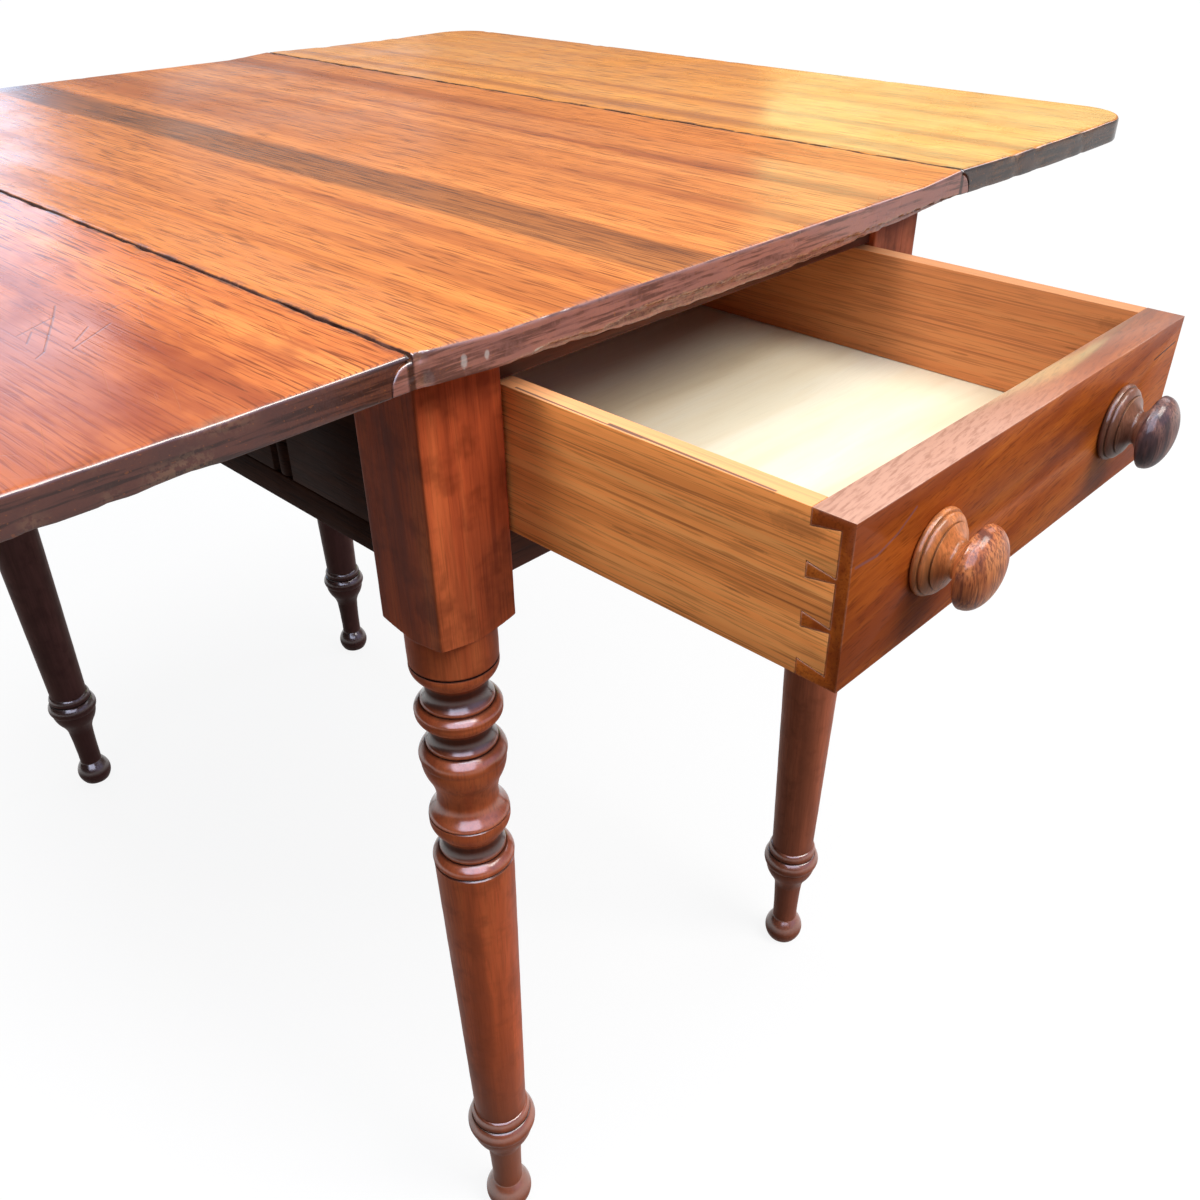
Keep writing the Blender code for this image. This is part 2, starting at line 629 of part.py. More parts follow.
# Fixed top, with a quarter round along each side
def top_outline():
    steps = 20
    surface = [-JOINT_X + TOP_WIDTH * step / steps for step in range(steps + 1)]
    upper = [(x, TABLE_HEIGHT + top_sag(x)) for x in surface]
    lower = [(x, BOARD_UNDER + top_sag(x)) for x in reversed(surface)]
    right = arc((JOINT_X, PIN_Z), JOINT_RADIUS, 90, 0, 8)
    left = arc((-JOINT_X, PIN_Z), JOINT_RADIUS, 180, 90, 8)
    edge = JOINT_X + JOINT_RADIUS
    return upper + right + [(edge, BOARD_UNDER)] + lower + [(-edge, BOARD_UNDER)] + left


def plate_room(side, end, on_leaf):
    """Recess under a board for a hinge plate."""
    far = LEAF_PLATE_WIDTH if on_leaf else -TOP_PLATE_WIDTH
    near = JOINT_RADIUS / 2 if on_leaf else JOINT_RADIUS + 3 * COVE_CLEAR
    y, half = hinge_y(end), HINGE_LENGTH / 2 + FIT
    xs = sorted((JOINT_X + near, JOINT_X + far + math.copysign(FIT, far)))
    deep = BOARD_UNDER - BOARD
    return side_box(side, (xs[0], y - half, deep), (xs[1], y + half, BOARD_UNDER + PLATE + FIT))


def knuckle_room(side, end):
    y, half = hinge_y(end), HINGE_LENGTH / 2 + 2 * FIT
    return rod(KNUCKLE_RADIUS + KNUCKLE_CLEAR, 2 * half, "+y", (side * JOINT_X, y - half, PIN_Z), 16)


top = as_object("fixed_top", prism(top_outline(), "y", -TOP_END, TOP_END), TOP_WOOD)
for side, side_name in SIDES:
    for end, end_name in ENDS:
        boolean(top, "DIFFERENCE", plate_room(side, end, False), f"plate_room_{side_name}_{end_name}")
        boolean(top, "DIFFERENCE", knuckle_room(side, end), f"knuckle_room_{side_name}_{end_name}")
        boolean(top, "DIFFERENCE", all_screws(side, end, False, FIT), f"screw_holes_{side_name}_{end_name}")
smooth(top)


# Leaves, hollowed along the joint and rounded at their outer corners
def leaf_outline(side):
    """Section of a leaf: surface, outer edge, underside, and the hollow round the hinge pin."""
    steps = 14
    cove = JOINT_RADIUS + COVE_CLEAR
    out = [JOINT_GAP + (LEAF_WIDTH - JOINT_GAP) * step / steps for step in range(steps + 1)]
    back = [LEAF_WIDTH - (LEAF_WIDTH - cove) * step / steps for step in range(steps + 1)]
    surface = [(x, TABLE_HEIGHT + leaf_sag(x)) for x in out]
    lower = [(x, BOARD_UNDER + leaf_sag(x)) for x in back[:-1]]
    start = math.degrees(math.acos(JOINT_GAP / cove))
    hollow = arc((0, PIN_Z), cove, 0, start, 8)
    section = surface + lower + [(cove, BOARD_UNDER + leaf_sag(back[-2]))] + hollow
    return [(side * (JOINT_X + x), z) for x, z in section]


def leaf_plan(side):
    inner = [(0, TOP_END), (0, -TOP_END)]
    x, y, radius = LEAF_WIDTH - LEAF_CORNER, TOP_END - LEAF_CORNER, LEAF_CORNER
    corners = arc((x, -y), radius, -90, 0, 8) + arc((x, y), radius, 0, 90, 8)
    return [(side * (JOINT_X + a), b) for a, b in inner + corners]


for side, side_name in SIDES:
    shape = prism(leaf_outline(side), "y", -TOP_END - BOARD, TOP_END + BOARD)
    leaf = as_object(f"{side_name}_leaf", shape, TOP_WOOD, LEAVES[side])
    plan = prism(leaf_plan(side), "z", BOARD_UNDER - 2 * BOARD, TABLE_HEIGHT + BOARD)
    boolean(leaf, "INTERSECT", plan, "rounded_plan")
    for end, end_name in ENDS:
        boolean(leaf, "DIFFERENCE", plate_room(side, end, True), f"plate_room_{end_name}")
        boolean(leaf, "DIFFERENCE", all_screws(side, end, True, FIT), f"screw_holes_{end_name}")
    smooth(leaf)


# Drawer, drawn shut and carried out by its holder
def tail_places(low, count, high):
    """Middles of a row of tails, centred between two heights."""
    middle = (low + high) / 2
    return [middle + (n - (count - 1) / 2) * TAIL_PITCH for n in range(count)]


def tail(root, end, middle, grow=0.0):
    """One dovetail in side view. A socket is the same shape grown by the fit and run past its root."""
    wide, narrow = (TAIL_PITCH - PIN_NARROW) / 2 + grow, (TAIL_PITCH - PIN_WIDE) / 2 + grow
    way = math.copysign(1, end - root)
    points = [(end + way * grow, middle - wide), (end + way * grow, middle + wide)]
    back = root - way * grow * 4
    return [(back, middle - narrow), *points, (back, middle + narrow)]


FRONT_ROOT = FACE_Y + FRONT_THICK + FIT
FRONT_TIP = FACE_Y + FRONT_LAP + FIT
DRAWER_END = FACE_Y + DRAWER_DEPTH
BACK_ROOT = DRAWER_END - BACK_THICK - FIT
BACK_LOW = BOTTOM_Z + BOTTOM_THICK + FIT
BACK_HIGH = DRAWER_HIGH - BACK_DROP
FRONT_ROW = tail_places(DRAWER_LOW, FRONT_TAIL_COUNT, DRAWER_HIGH)
BACK_ROW = tail_places(BACK_LOW, BACK_TAIL_COUNT, BACK_HIGH)
INSIDE_X = DRAWER_X - SIDE_THICK
GROOVE_X = INSIDE_X + GROOVE


def drawer_side_outline():
    outline = [(BACK_ROOT, DRAWER_LOW), (FRONT_ROOT, DRAWER_LOW)]
    for middle in FRONT_ROW:
        outline += tail(FRONT_ROOT, FRONT_TIP, middle)
    outline += [(FRONT_ROOT, DRAWER_HIGH), (BACK_ROOT, DRAWER_HIGH)]
    for middle in reversed(BACK_ROW):
        outline += reversed(tail(BACK_ROOT, DRAWER_END, middle))
    return outline


def sockets(side, root, end, row):
    """Room for a side's tails in the end of the front or the back."""
    shape = bmesh.new()
    xs = sorted((side * (INSIDE_X - FIT), side * (DRAWER_X + SIDE_THICK)))
    for middle in row:
        prism(tail(root, end, middle, FIT), "x", *xs, shape)
    return shape


def bottom_room():
    """The groove that the bottom slides into, cut from the back."""
    low = (-GROOVE_X - FIT, FRONT_ROOT - FIT - GROOVE - FIT, BOTTOM_Z - FIT)
    return box(low, (GROOVE_X + FIT, DRAWER_END + GROOVE, BOTTOM_Z + BOTTOM_THICK + FIT))


shape = box((-DRAWER_X, FACE_Y, DRAWER_LOW), (DRAWER_X, FACE_Y + FRONT_THICK, DRAWER_HIGH))
front = as_object("drawer_front", shape, FRONT_WOOD, DRAWER)
shape = box((-DRAWER_X, BACK_ROOT + FIT, BACK_LOW), (DRAWER_X, DRAWER_END, BACK_HIGH))
back = as_object("drawer_back", shape, DRAWER_WOOD, DRAWER)
for side, side_name in SIDES:
    boolean(front, "DIFFERENCE", sockets(side, FRONT_ROOT, FRONT_TIP, FRONT_ROW), f"sockets_{side_name}")
    boolean(back, "DIFFERENCE", sockets(side, BACK_ROOT, DRAWER_END, BACK_ROW), f"sockets_{side_name}")
    xs = sorted((side * INSIDE_X, side * DRAWER_X))
    shape = prism(drawer_side_outline(), "x", *xs)
    drawer_side = as_object(f"drawer_side_{side_name}", shape, DRAWER_WOOD, DRAWER)
    boolean(drawer_side, "DIFFERENCE", bottom_room(), "groove")
boolean(front, "DIFFERENCE", bottom_room(), "groove")

low = (-GROOVE_X, FRONT_ROOT - FIT - GROOVE, BOTTOM_Z)
shape = box(low, (GROOVE_X, DRAWER_END, BOTTOM_Z + BOTTOM_THICK))
as_object("drawer_bottom", shape, PLY_WOOD, DRAWER)


def knob_outline():
    """From the spigot's end to the crown: stepped base, hollow neck and mushroom head."""
    neck_end = KNOB_REACH * 0.50
    rim = KNOB_REACH * 0.68
    points = [
        (-FRONT_THICK, KNOB_SPIGOT_RADIUS, 0),
        (FIT, KNOB_SPIGOT_RADIUS, 0),
        (FIT, KNOB_BASE_RADIUS, 0.0006),
        (0.0035, KNOB_BASE_RADIUS - 0.0010, 0),
        (0.0038, KNOB_BASE_RADIUS - 0.0030, 0.0004),
        (0.0060, KNOB_BASE_RADIUS - 0.0048, -0.0030),
        (neck_end, KNOB_NECK_RADIUS, -0.0010),
        (rim - 0.0025, KNOB_HEAD_RADIUS - 0.0020, 0.0008),
        (rim, KNOB_HEAD_RADIUS, 0.0010),
    ]
    crown = 10
    dome = arc((rim, 0), 1, 90, crown, 5)
    height = (KNOB_REACH - rim) / math.cos(math.radians(crown))
    drawn = swell(points)
    drawn += [(rim + height * (x - rim), KNOB_HEAD_RADIUS * y) for x, y in dome[1:]]
    return drawn


for side, side_name in SIDES:
    centre = (side * (DRAWER_X - KNOB_INSET), FACE_Y, (DRAWER_LOW + DRAWER_HIGH) / 2)
    shape = turned(knob_outline(), along("-y", centre))
    smooth(as_object(f"drawer_knob_{side_name}", shape, KNOB_WOOD, DRAWER))
    start = (centre[0], FACE_Y - FRONT_THICK, centre[2])
    shape = rod(KNOB_SPIGOT_RADIUS + FIT, FRONT_THICK * 3, "+y", start)
    boolean(front, "DIFFERENCE", shape, f"knob_hole_{side_name}")
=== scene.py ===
# %% [markdown]
# # Dressing a drop-leaf table
# The solids of the table arrive as a fixed frame: every board, leg and hinge is already where it belongs.
# This lesson gives them their looks: worn edges, turned legs, old polish, a figured drawer front, brass and
# steel. Nothing of the frame is moved. A piece either gets a new material or is replaced by a finer one.

# %% Load the frame and keep its box
import json
import math

import bmesh
import bpy
import numpy as np
from mathutils import Euler, Matrix, Vector


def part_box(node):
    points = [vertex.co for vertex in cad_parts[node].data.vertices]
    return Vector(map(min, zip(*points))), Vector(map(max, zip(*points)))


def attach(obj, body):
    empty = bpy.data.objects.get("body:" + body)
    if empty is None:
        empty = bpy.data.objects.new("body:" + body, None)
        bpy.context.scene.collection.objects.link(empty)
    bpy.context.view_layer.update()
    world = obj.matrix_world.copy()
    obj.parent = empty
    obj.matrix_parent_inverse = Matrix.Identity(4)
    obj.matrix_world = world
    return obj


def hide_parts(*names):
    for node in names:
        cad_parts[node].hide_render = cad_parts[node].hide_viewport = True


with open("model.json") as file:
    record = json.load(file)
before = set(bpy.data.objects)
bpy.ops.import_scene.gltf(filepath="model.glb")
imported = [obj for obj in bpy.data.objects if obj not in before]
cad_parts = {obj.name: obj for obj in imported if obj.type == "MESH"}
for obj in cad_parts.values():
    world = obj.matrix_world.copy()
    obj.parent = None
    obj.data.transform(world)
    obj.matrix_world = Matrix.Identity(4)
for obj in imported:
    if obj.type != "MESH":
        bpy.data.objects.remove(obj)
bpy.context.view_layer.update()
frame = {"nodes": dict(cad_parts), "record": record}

BODY_OF = {node: body for body, nodes in frame["record"]["behaviour"]["bodies"].items() for node in nodes}

# %% [markdown]
# ## The camera
# A camera can be matched to a photograph by hand, or solved from points whose real places are known, such
# as the feet, the ends of the joint lines and the corners of the boards. Solving is steadier: it gives the
# place, the turn and the focal length together. The small shift says that the picture was cropped a little
# off centre.

# %% Camera
CAMERA_PLACE = (-0.4772, -0.6635, 0.8853)
CAMERA_YAW = 46.209  # degrees from +Y towards +X
CAMERA_PITCH = 33.777  # degrees below the horizon
CAMERA_ROLL = 0.346
IMAGE_WIDTH = 1200  # the picture is square, in pixels
FOCAL_PIXELS = 1124.4
MIDDLE_PIXEL = (615.7, 615.4)
SENSOR = 36  # millimetres


def placed(name, data):
    """A new object in the scene."""
    made = bpy.data.objects.new(name, data)
    bpy.context.scene.collection.objects.link(made)
    return made


camera = placed("camera", bpy.data.cameras.new("camera"))
camera.data.sensor_width = SENSOR
camera.data.lens = FOCAL_PIXELS / IMAGE_WIDTH * SENSOR
camera.data.shift_x = 0.5 - MIDDLE_PIXEL[0] / IMAGE_WIDTH
camera.data.shift_y = MIDDLE_PIXEL[1] / IMAGE_WIDTH - 0.5
aim = Euler((math.radians(90 - CAMERA_PITCH), 0, math.radians(-CAMERA_YAW))).to_matrix()
aim = aim @ Matrix.Rotation(math.radians(-CAMERA_ROLL), 3, "Z")
camera.matrix_world = Matrix.Translation(CAMERA_PLACE) @ aim.to_4x4()
bpy.context.scene.camera = camera
print("lens", round(camera.data.lens, 2), "mm")

# %% [markdown]
# ## Building node trees from a script
# Shader and geometry trees are both nodes and links. Typing each link by hand is long, so one helper makes
# a node, and anything given for an input is either a plain value or another node's output to link.

# %% Materials and nodes
def new_material(name):
    """A material with nodes, its tree and its shader."""
    made = bpy.data.materials.new(name)
    made.use_nodes = True
    return made, made.node_tree, made.node_tree.nodes["Principled BSDF"]


def add_node(tree, kind, inputs=None, **settings):
    made = tree.nodes.new(kind)
    for key, value in settings.items():
        setattr(made, key, value)
    for key, value in (inputs or {}).items():
        if isinstance(value, bpy.types.NodeSocket):
            tree.links.new(value, made.inputs[key])
        else:
            made.inputs[key].default_value = value
    return made


print("the frame brings", len(bpy.data.materials), "materials of its own")

# %% [markdown]
# Sums and measures come up in every tree. Each of these helpers adds one node and gives back its output, so
# that a formula reads from left to right instead of being a field of boxes.

# %% Sums and measures
def maths(tree, operation, *values, clamp=False):
    """The output of one Math node."""
    inputs = dict(enumerate(values))
    return add_node(tree, "ShaderNodeMath", inputs, operation=operation, use_clamp=clamp).outputs[0]


def times(tree, first, second):
    return maths(tree, "MULTIPLY", first, second)


def one_over(tree, value):
    """One divided by a value, such as how many patterns of a size go into a metre."""
    return maths(tree, "DIVIDE", 1.0, value)


def vector_maths(tree, operation, *values):
    inputs = dict(enumerate(values))
    return add_node(tree, "ShaderNodeVectorMath", inputs, operation=operation).outputs[0]


def measure(tree, operation, *vectors):
    """A number from one or two vectors, such as their distance."""
    inputs = dict(enumerate(vectors))
    return add_node(tree, "ShaderNodeVectorMath", inputs, operation=operation).outputs["Value"]


def resized(tree, vector, factor):
    """A vector made longer or shorter by one factor."""
    inputs = {0: vector, "Scale": factor}
    return add_node(tree, "ShaderNodeVectorMath", inputs, operation="SCALE").outputs[0]


def axis(tree, vector, label):
    """The X, Y or Z of a position or a normal."""
    return add_node(tree, "ShaderNodeSeparateXYZ", {0: vector}).outputs[label]


def remap(tree, value, low, high, to_low=0.0, to_high=1.0):
    """Stretches a value from one range to another, easing in and out."""
    inputs = {"Value": value, "From Min": low, "From Max": high, "To Min": to_low, "To Max": to_high}
    made = add_node(tree, "ShaderNodeMapRange", inputs, interpolation_type="SMOOTHSTEP")
    return made.outputs["Result"]


print("made helpers for sums: maths, times, one_over, vector_maths, measure, resized, axis, remap")

# %% [markdown]
# Colours are mixed and noise is laid in the same way. A set of nodes that several materials need is put in
# a group, which then looks like one node with sockets of its own.

# %% Colours, noise and groups
def mix(tree, factor, first, second):
    """Mixes two colours. A plain colour is three numbers."""
    first, second = (c if isinstance(c, bpy.types.NodeSocket) else (*c, 1.0) for c in (first, second))
    inputs = {0: factor, 6: first, 7: second}
    return add_node(tree, "ShaderNodeMix", inputs, data_type="RGBA").outputs[2]


def noise(tree, vector, scale, detail=2.0, roughness=0.5):
    inputs = {"Vector": vector, "Scale": scale, "Detail": detail, "Roughness": roughness}
    return add_node(tree, "ShaderNodeTexNoise", inputs).outputs["Fac"]


def scaled(tree, vector, factors):
    """A position squeezed along its axes, so that a pattern on it is drawn out along the grain."""
    return vector_maths(tree, "MULTIPLY", vector, factors)


def new_group(name, inputs, outputs):
    """An empty shader group. Inputs are name: default, and three numbers make a vector socket."""
    tree = bpy.data.node_groups.new(name, "ShaderNodeTree")
    for label, default in inputs.items():
        kind = "NodeSocketVector" if isinstance(default, tuple) else "NodeSocketFloat"
        tree.interface.new_socket(name=label, in_out="INPUT", socket_type=kind).default_value = default
    for label in outputs:
        tree.interface.new_socket(name=label, in_out="OUTPUT", socket_type="NodeSocketFloat")
    entry = tree.nodes.new("NodeGroupInput")
    leave = tree.nodes.new("NodeGroupOutput")
    return tree, entry.outputs, leave.inputs


def use_group(tree, group, **inputs):
    """Places a group in a material; Line_Width stands for the socket named Line Width."""
    given = {label.replace("_", " "): value for label, value in inputs.items()}
    return add_node(tree, "ShaderNodeGroup", given, node_tree=group).outputs


print("made helpers for colours and groups: mix, noise, scaled, new_group, use_group")

# %% [markdown]
# ## Floor and light
# The table stands on a white floor that fills the picture. Painted white, it would throw so much light up
# that the undersides would glow, so it is a grey floor that adds white only where the camera, a reflection
# or glass sees it, and the shadow stays.

# %% Floor
FLOOR_RADIUS = 40.0
FLOOR_GREY = 0.13
NEAR_LIFT, FAR_LIFT = 0.885, 0.955  # white that the camera sees on top of the lit grey
NEAR, FAR = 1.0, 4.5  # metres from the middle, where those two hold


def floor_material(name):
    made, tree, shader = new_material(name)
    shader.inputs["Base Color"].default_value = (FLOOR_GREY, FLOOR_GREY, FLOOR_GREY, 1)
    shader.inputs["Roughness"].default_value = 0.9
    shader.inputs["Specular IOR Level"].default_value = 0.0
    rays = add_node(tree, "ShaderNodeLightPath").outputs
    seen = maths(tree, "MAXIMUM", rays["Is Camera Ray"], rays["Is Glossy Ray"])
    seen = maths(tree, "MAXIMUM", seen, rays["Is Transmission Ray"])
    shader.inputs["Emission Color"].default_value = (1, 1, 1, 1)
    spot = add_node(tree, "ShaderNodeTexCoord").outputs["Object"]
    far = measure(tree, "LENGTH", spot)
    lift = remap(tree, far, NEAR, FAR, NEAR_LIFT, FAR_LIFT)
    tree.links.new(times(tree, seen, lift), shader.inputs["Emission Strength"])
    return made


disc = bmesh.new()
bmesh.ops.create_circle(disc, cap_ends=True, segments=96, radius=FLOOR_RADIUS)
floor_mesh = bpy.data.meshes.new("studio_floor")
disc.to_mesh(floor_mesh)
disc.free()
floor = placed("studio_floor", floor_mesh)
floor_mesh.materials.append(floor_material("floor_paper"))
print("floor", FLOOR_RADIUS * 2, "m across")

# %% [markdown]
# The light could come from lamps alone, but polish shows whatever surrounds it, so a soft sky comes first.
# It is brightest overhead. Low down it is dim, because a polished top seen at a low angle mirrors what lies
# just above the horizon. Soft lamps then stand where the windows of a room would, and give the sheens and
# the highlights.

# %% Sky
SKY_LEVEL = 0.46
LEFT_SHADE = 0.15  # what is left of the sky on the left, where the legs are dark
FRONT_SKY = 1.0  # more light from the front and right, which reaches into the drawer
FRONT_BLUE = 1.7  # how much more of its blue
# level of the sky at each height, from the horizon, 0, to overhead, 1
SKY_RISE = ((0.0, 1.0), (0.08, 0.85), (0.20, 0.36), (0.36, 0.32), (0.60, 0.75), (0.80, 1.3), (1.0, 1.8))

world = bpy.data.worlds.new("soft_sky")
bpy.context.scene.world = world
world.use_nodes = True
sky = world.node_tree
direction = add_node(sky, "ShaderNodeTexCoord").outputs["Generated"]
parts = add_node(sky, "ShaderNodeSeparateXYZ", {0: direction}).outputs
ramp = add_node(sky, "ShaderNodeValToRGB", {0: parts["Z"]})
while len(ramp.color_ramp.elements) < len(SKY_RISE):
    ramp.color_ramp.elements.new(0.5)
for element, (place, level) in zip(ramp.color_ramp.elements, SKY_RISE):
    element.position = place
    element.color = (level, level, level * 1.01, 1)
shade = remap(sky, parts["X"], -0.7, 0.1, LEFT_SHADE, 1.0)
shaded = resized(sky, ramp.outputs["Color"], shade)
front = remap(sky, parts["Y"], -0.35, -0.85, 0.0, FRONT_SKY)
front = times(sky, front, remap(sky, parts["Z"], 0.0, 0.15))
front = times(sky, front, remap(sky, parts["X"], -0.45, 0.25))
front_colour = {0: front, 1: front, 2: times(sky, front, FRONT_BLUE)}
front_light = add_node(sky, "ShaderNodeCombineXYZ", front_colour).outputs[0]
whole = vector_maths(sky, "ADD", shaded, front_light)
sky.links.new(whole, sky.nodes["Background"].inputs["Color"])
sky.nodes["Background"].inputs["Strength"].default_value = SKY_LEVEL
bpy.context.scene.view_settings.view_transform = "Standard"
print("sky", len(SKY_RISE), "levels")

# %% Lamps
# name, place, what it points at, width, height, level, colour
LAMPS = (
    ("window_behind", (0.55, 3.4, 1.45), (0.1, 0.2, 0.8), 1.0, 1.3, 2.5, (0.46, 0.70, 1.0)),
    ("window_beside", (2.05, 3.4, 1.20), (0.1, 0.2, 0.8), 1.0, 0.7, 0.25, (0.95, 0.96, 1.0)),
    ("panel_right", (3.5, 1.5, 1.35), (0.2, 0.1, 0.7), 1.3, 0.9, 1.15, (0.80, 1.0, 0.42)),
    ("panel_front", (0.8, -2.2, 2.9), (0.0, -0.2, 0.5), 1.7, 1.4, 9.5, (1.0, 0.95, 0.88)),
    ("panel_corner", (2.4, -0.7, 2.1), (0.0, -0.2, 0.6), 1.2, 1.0, 2.2, (0.86, 0.90, 1.0)),
    ("skylight_left", (-1.0, 0.05, 2.4), (-0.15, -0.4, 0.6), 0.8, 0.7, 16.0, (0.98, 0.96, 0.96)),
    ("skylight_front", (-0.5, -1.0, 2.9), (-0.1, -0.2, 0.6), 1.5, 1.3, 4.2, (0.72, 0.84, 1.0)),
    ("sheen_front_left", (-1.6, -2.0, 2.4), (-0.2, -0.3, 0.4), 3.0, 2.6, 4.6, (0.72, 0.76, 1.0)),
    ("panel_left", (-1.9, -0.95, 1.75), (-0.2, -0.3, 0.5), 1.0, 0.8, 0.9, (0.56, 0.76, 1.0)),
)
POLISH_ONLY = ("sheen_front_left",)  # seen in the polish, but lights nothing else


def soft_lamp(name, place, target, width, tall, level, colour):
    """A soft panel whose face is that bright, wherever it stands."""
    data = bpy.data.lights.new(name, "AREA")
    data.shape = "RECTANGLE"
    data.size = width
    data.size_y = tall
    data.energy = math.pi * width * tall * level
    data.color = colour
    lamp = placed(name, data)
    lamp.location = place
    lamp.rotation_euler = (Vector(target) - Vector(place)).to_track_quat("-Z", "Y").to_euler()
    lamp.visible_camera = False
    lamp.visible_diffuse = name not in POLISH_ONLY


for row in LAMPS:
    soft_lamp(*row)
print(len(bpy.data.lights), "lamps")

# %% [markdown]
# ## Grain, wear and dirt as shader groups
# Every wooden piece shows the same few effects with different values, so each effect is one group. Grain
# is noise drawn out along the plank: wide bands of colour, fine dark lines and short pores. The grain runs
# along Y of the position that goes in, and a Mapping node turns it for pieces whose grain runs another way.

# %% Grain group
plank_grain, given, result = new_group(
    "plank_grain",
    {"Vector": (0.0, 0.0, 0.0), "Band Width": 0.03, "Line Width": 0.003, "Line Start": 0.42,
     "Stretch": 25.0, "Waver": 0.01},
    ("Bands", "Lines", "Pores"),
)
slow = add_node(plank_grain, "ShaderNodeTexNoise", {
    "Vector": scaled(plank_grain, given["Vector"], (1.0, 0.22, 1.0)), "Scale": 7.0, "Detail": 2.0,
}).outputs["Color"]
drift = vector_maths(plank_grain, "SUBTRACT", slow, (0.5, 0.5, 0.5))
bent = vector_maths(plank_grain, "ADD", given["Vector"], resized(plank_grain, drift, given["Waver"]))
along = one_over(plank_grain, given["Stretch"])
drawn_out = add_node(plank_grain, "ShaderNodeCombineXYZ", {0: 1.0, 1: along, 2: 1.0}).outputs[0]
drawn = vector_maths(plank_grain, "MULTIPLY", bent, drawn_out)
bands = noise(plank_grain, drawn, one_over(plank_grain, given["Band Width"]), 3.0, 0.55)
lines = noise(plank_grain, drawn, one_over(plank_grain, given["Line Width"]), 3.0, 0.6)
dashes = noise(plank_grain, scaled(plank_grain, bent, (1.0, 0.035, 1.0)), 900.0, 1.0)
crowd = noise(plank_grain, scaled(plank_grain, given["Vector"], (1.0, 0.3, 1.0)), 14.0, 2.0)
dashes = maths(plank_grain, "MULTIPLY_ADD", crowd, 0.16, dashes)
for socket, value in (
    ("Bands", remap(plank_grain, bands, 0.30, 0.70)),
    ("Lines", remap(plank_grain, lines, given["Line Start"], 0.70)),
    ("Pores", remap(plank_grain, dashes, 0.60, 0.76)),
):
    plank_grain.links.new(value, result[socket])
print("group", plank_grain.name)

# %% [markdown]
# Edges lose their colour first: hands and cloths rub them. The Bevel node gives the normal of a rounded
# copy of the surface, and where that differs from the real normal there is an edge. Noise breaks the mark
# up. Corners that nobody can reach gather dirt, and ambient occlusion finds those. The same darkening is
# also painted shade in corners, coves and recesses, where shadow falls.

# %% Edge wear, and corner dirt and shade groups
edge_wear, given, result = new_group(
    "edge_wear", {"Vector": (0.0, 0.0, 0.0), "Width": 0.002, "Patch Size": 0.02}, ("Wear",)
)
rounded = add_node(edge_wear, "ShaderNodeBevel", {"Radius": given["Width"]}, samples=4).outputs["Normal"]
facing = add_node(edge_wear, "ShaderNodeNewGeometry").outputs["Normal"]
edge = remap(edge_wear, measure(edge_wear, "DOT_PRODUCT", rounded, facing), 0.99, 0.85)
patches = noise(edge_wear, given["Vector"], one_over(edge_wear, given["Patch Size"]), 4.0, 0.65)
broken = remap(edge_wear, patches, 0.36, 0.62)
edge_wear.links.new(times(edge_wear, edge, broken), result["Wear"])

corner_dirt_and_shade, given, result = new_group(
    "corner_dirt_and_shade", {"Vector": (0.0, 0.0, 0.0), "Reach": 0.01, "Patch Size": 0.02}, ("Dirt",)
)
# dirt and painted shade: darker where ambient occlusion finds the surface closed in
open_sky = add_node(
    corner_dirt_and_shade, "ShaderNodeAmbientOcclusion", {"Distance": given["Reach"]}, samples=6, only_local=True
).outputs["AO"]
closed_in = remap(corner_dirt_and_shade, open_sky, 0.95, 0.45)
patches = noise(corner_dirt_and_shade, given["Vector"], one_over(corner_dirt_and_shade, given["Patch Size"]), 3.0)
corner_dirt_and_shade.links.new(
    times(corner_dirt_and_shade, closed_in, remap(corner_dirt_and_shade, patches, 0.2, 0.55, 0.45, 1.0)),
    result["Dirt"],
)
print("groups", edge_wear.name, "and", corner_dirt_and_shade.name)

# %% [markdown]
# An old polish is never even: it is duller where it was handled, and it carries fine scratches in every
# direction. Long thin noise, turned three ways and cut off high, leaves only sparse hairlines.

# %% Scratches and polish groups
hairlines, given, result = new_group(
    "hairline_scratches", {"Vector": (0.0, 0.0, 0.0), "Width": 0.0012, "Sparseness": 0.70}, ("Scratches",)
)
total = None
for turn, part in ((0.35, 0.0), (1.25, 3.1), (2.4, 7.7)):
    turned_to = add_node(hairlines, "ShaderNodeMapping", {
        "Vector": given["Vector"], "Location": (part, part, 0.0), "Rotation": (0.0, 0.0, turn),
    }).outputs[0]
    fine = noise(
        hairlines, scaled(hairlines, turned_to, (1.0, 0.018, 1.0)),
        one_over(hairlines, given["Width"]), 0.0,
    )
    limit = maths(hairlines, "ADD", given["Sparseness"], 0.05)
    one = remap(hairlines, fine, given["Sparseness"], limit)
    total = one if total is None else maths(hairlines, "MAXIMUM", total, one)
hairlines.links.new(total, result["Scratches"])

old_polish, given, result = new_group(
    "old_polish", {"Vector": (0.0, 0.0, 0.0), "Gloss": 0.3, "Spread": 0.15, "Patch Size": 0.12},
    ("Roughness",),
)
patches = noise(old_polish, given["Vector"], one_over(old_polish, given["Patch Size"]), 5.0, 0.6)
uneven = times(old_polish, remap(old_polish, patches, 0.3, 0.7, -0.5, 0.5), given["Spread"])
old_polish.links.new(maths(old_polish, "ADD", given["Gloss"], uneven, clamp=True), result["Roughness"])
print("groups", hairlines.name, "and", old_polish.name)

# %% [markdown]
# ## One recipe for polished wood
# A finish starts with the place of each point on the piece, turned so that the grain lies along Y. The
# bands choose between a dark, a middle and a light colour, the lines and pores darken it, and wear, dirt
# and scratches come on top. Colours that are particular to one board are painted over between these steps.

# %% Wood finish
ALONG_X = (0.0, 0.0, math.pi / 2)
ALONG_Y = (0.0, 0.0, 0.0)
ALONG_Z = (math.pi / 2, 0.0, 0.0)
COAT_IOR = 1.9  # of a thick old polish
RELIEF = 0.0004  # metres, from the bottom of a pore to the face
UNPOLISHED = 0.9  # roughness


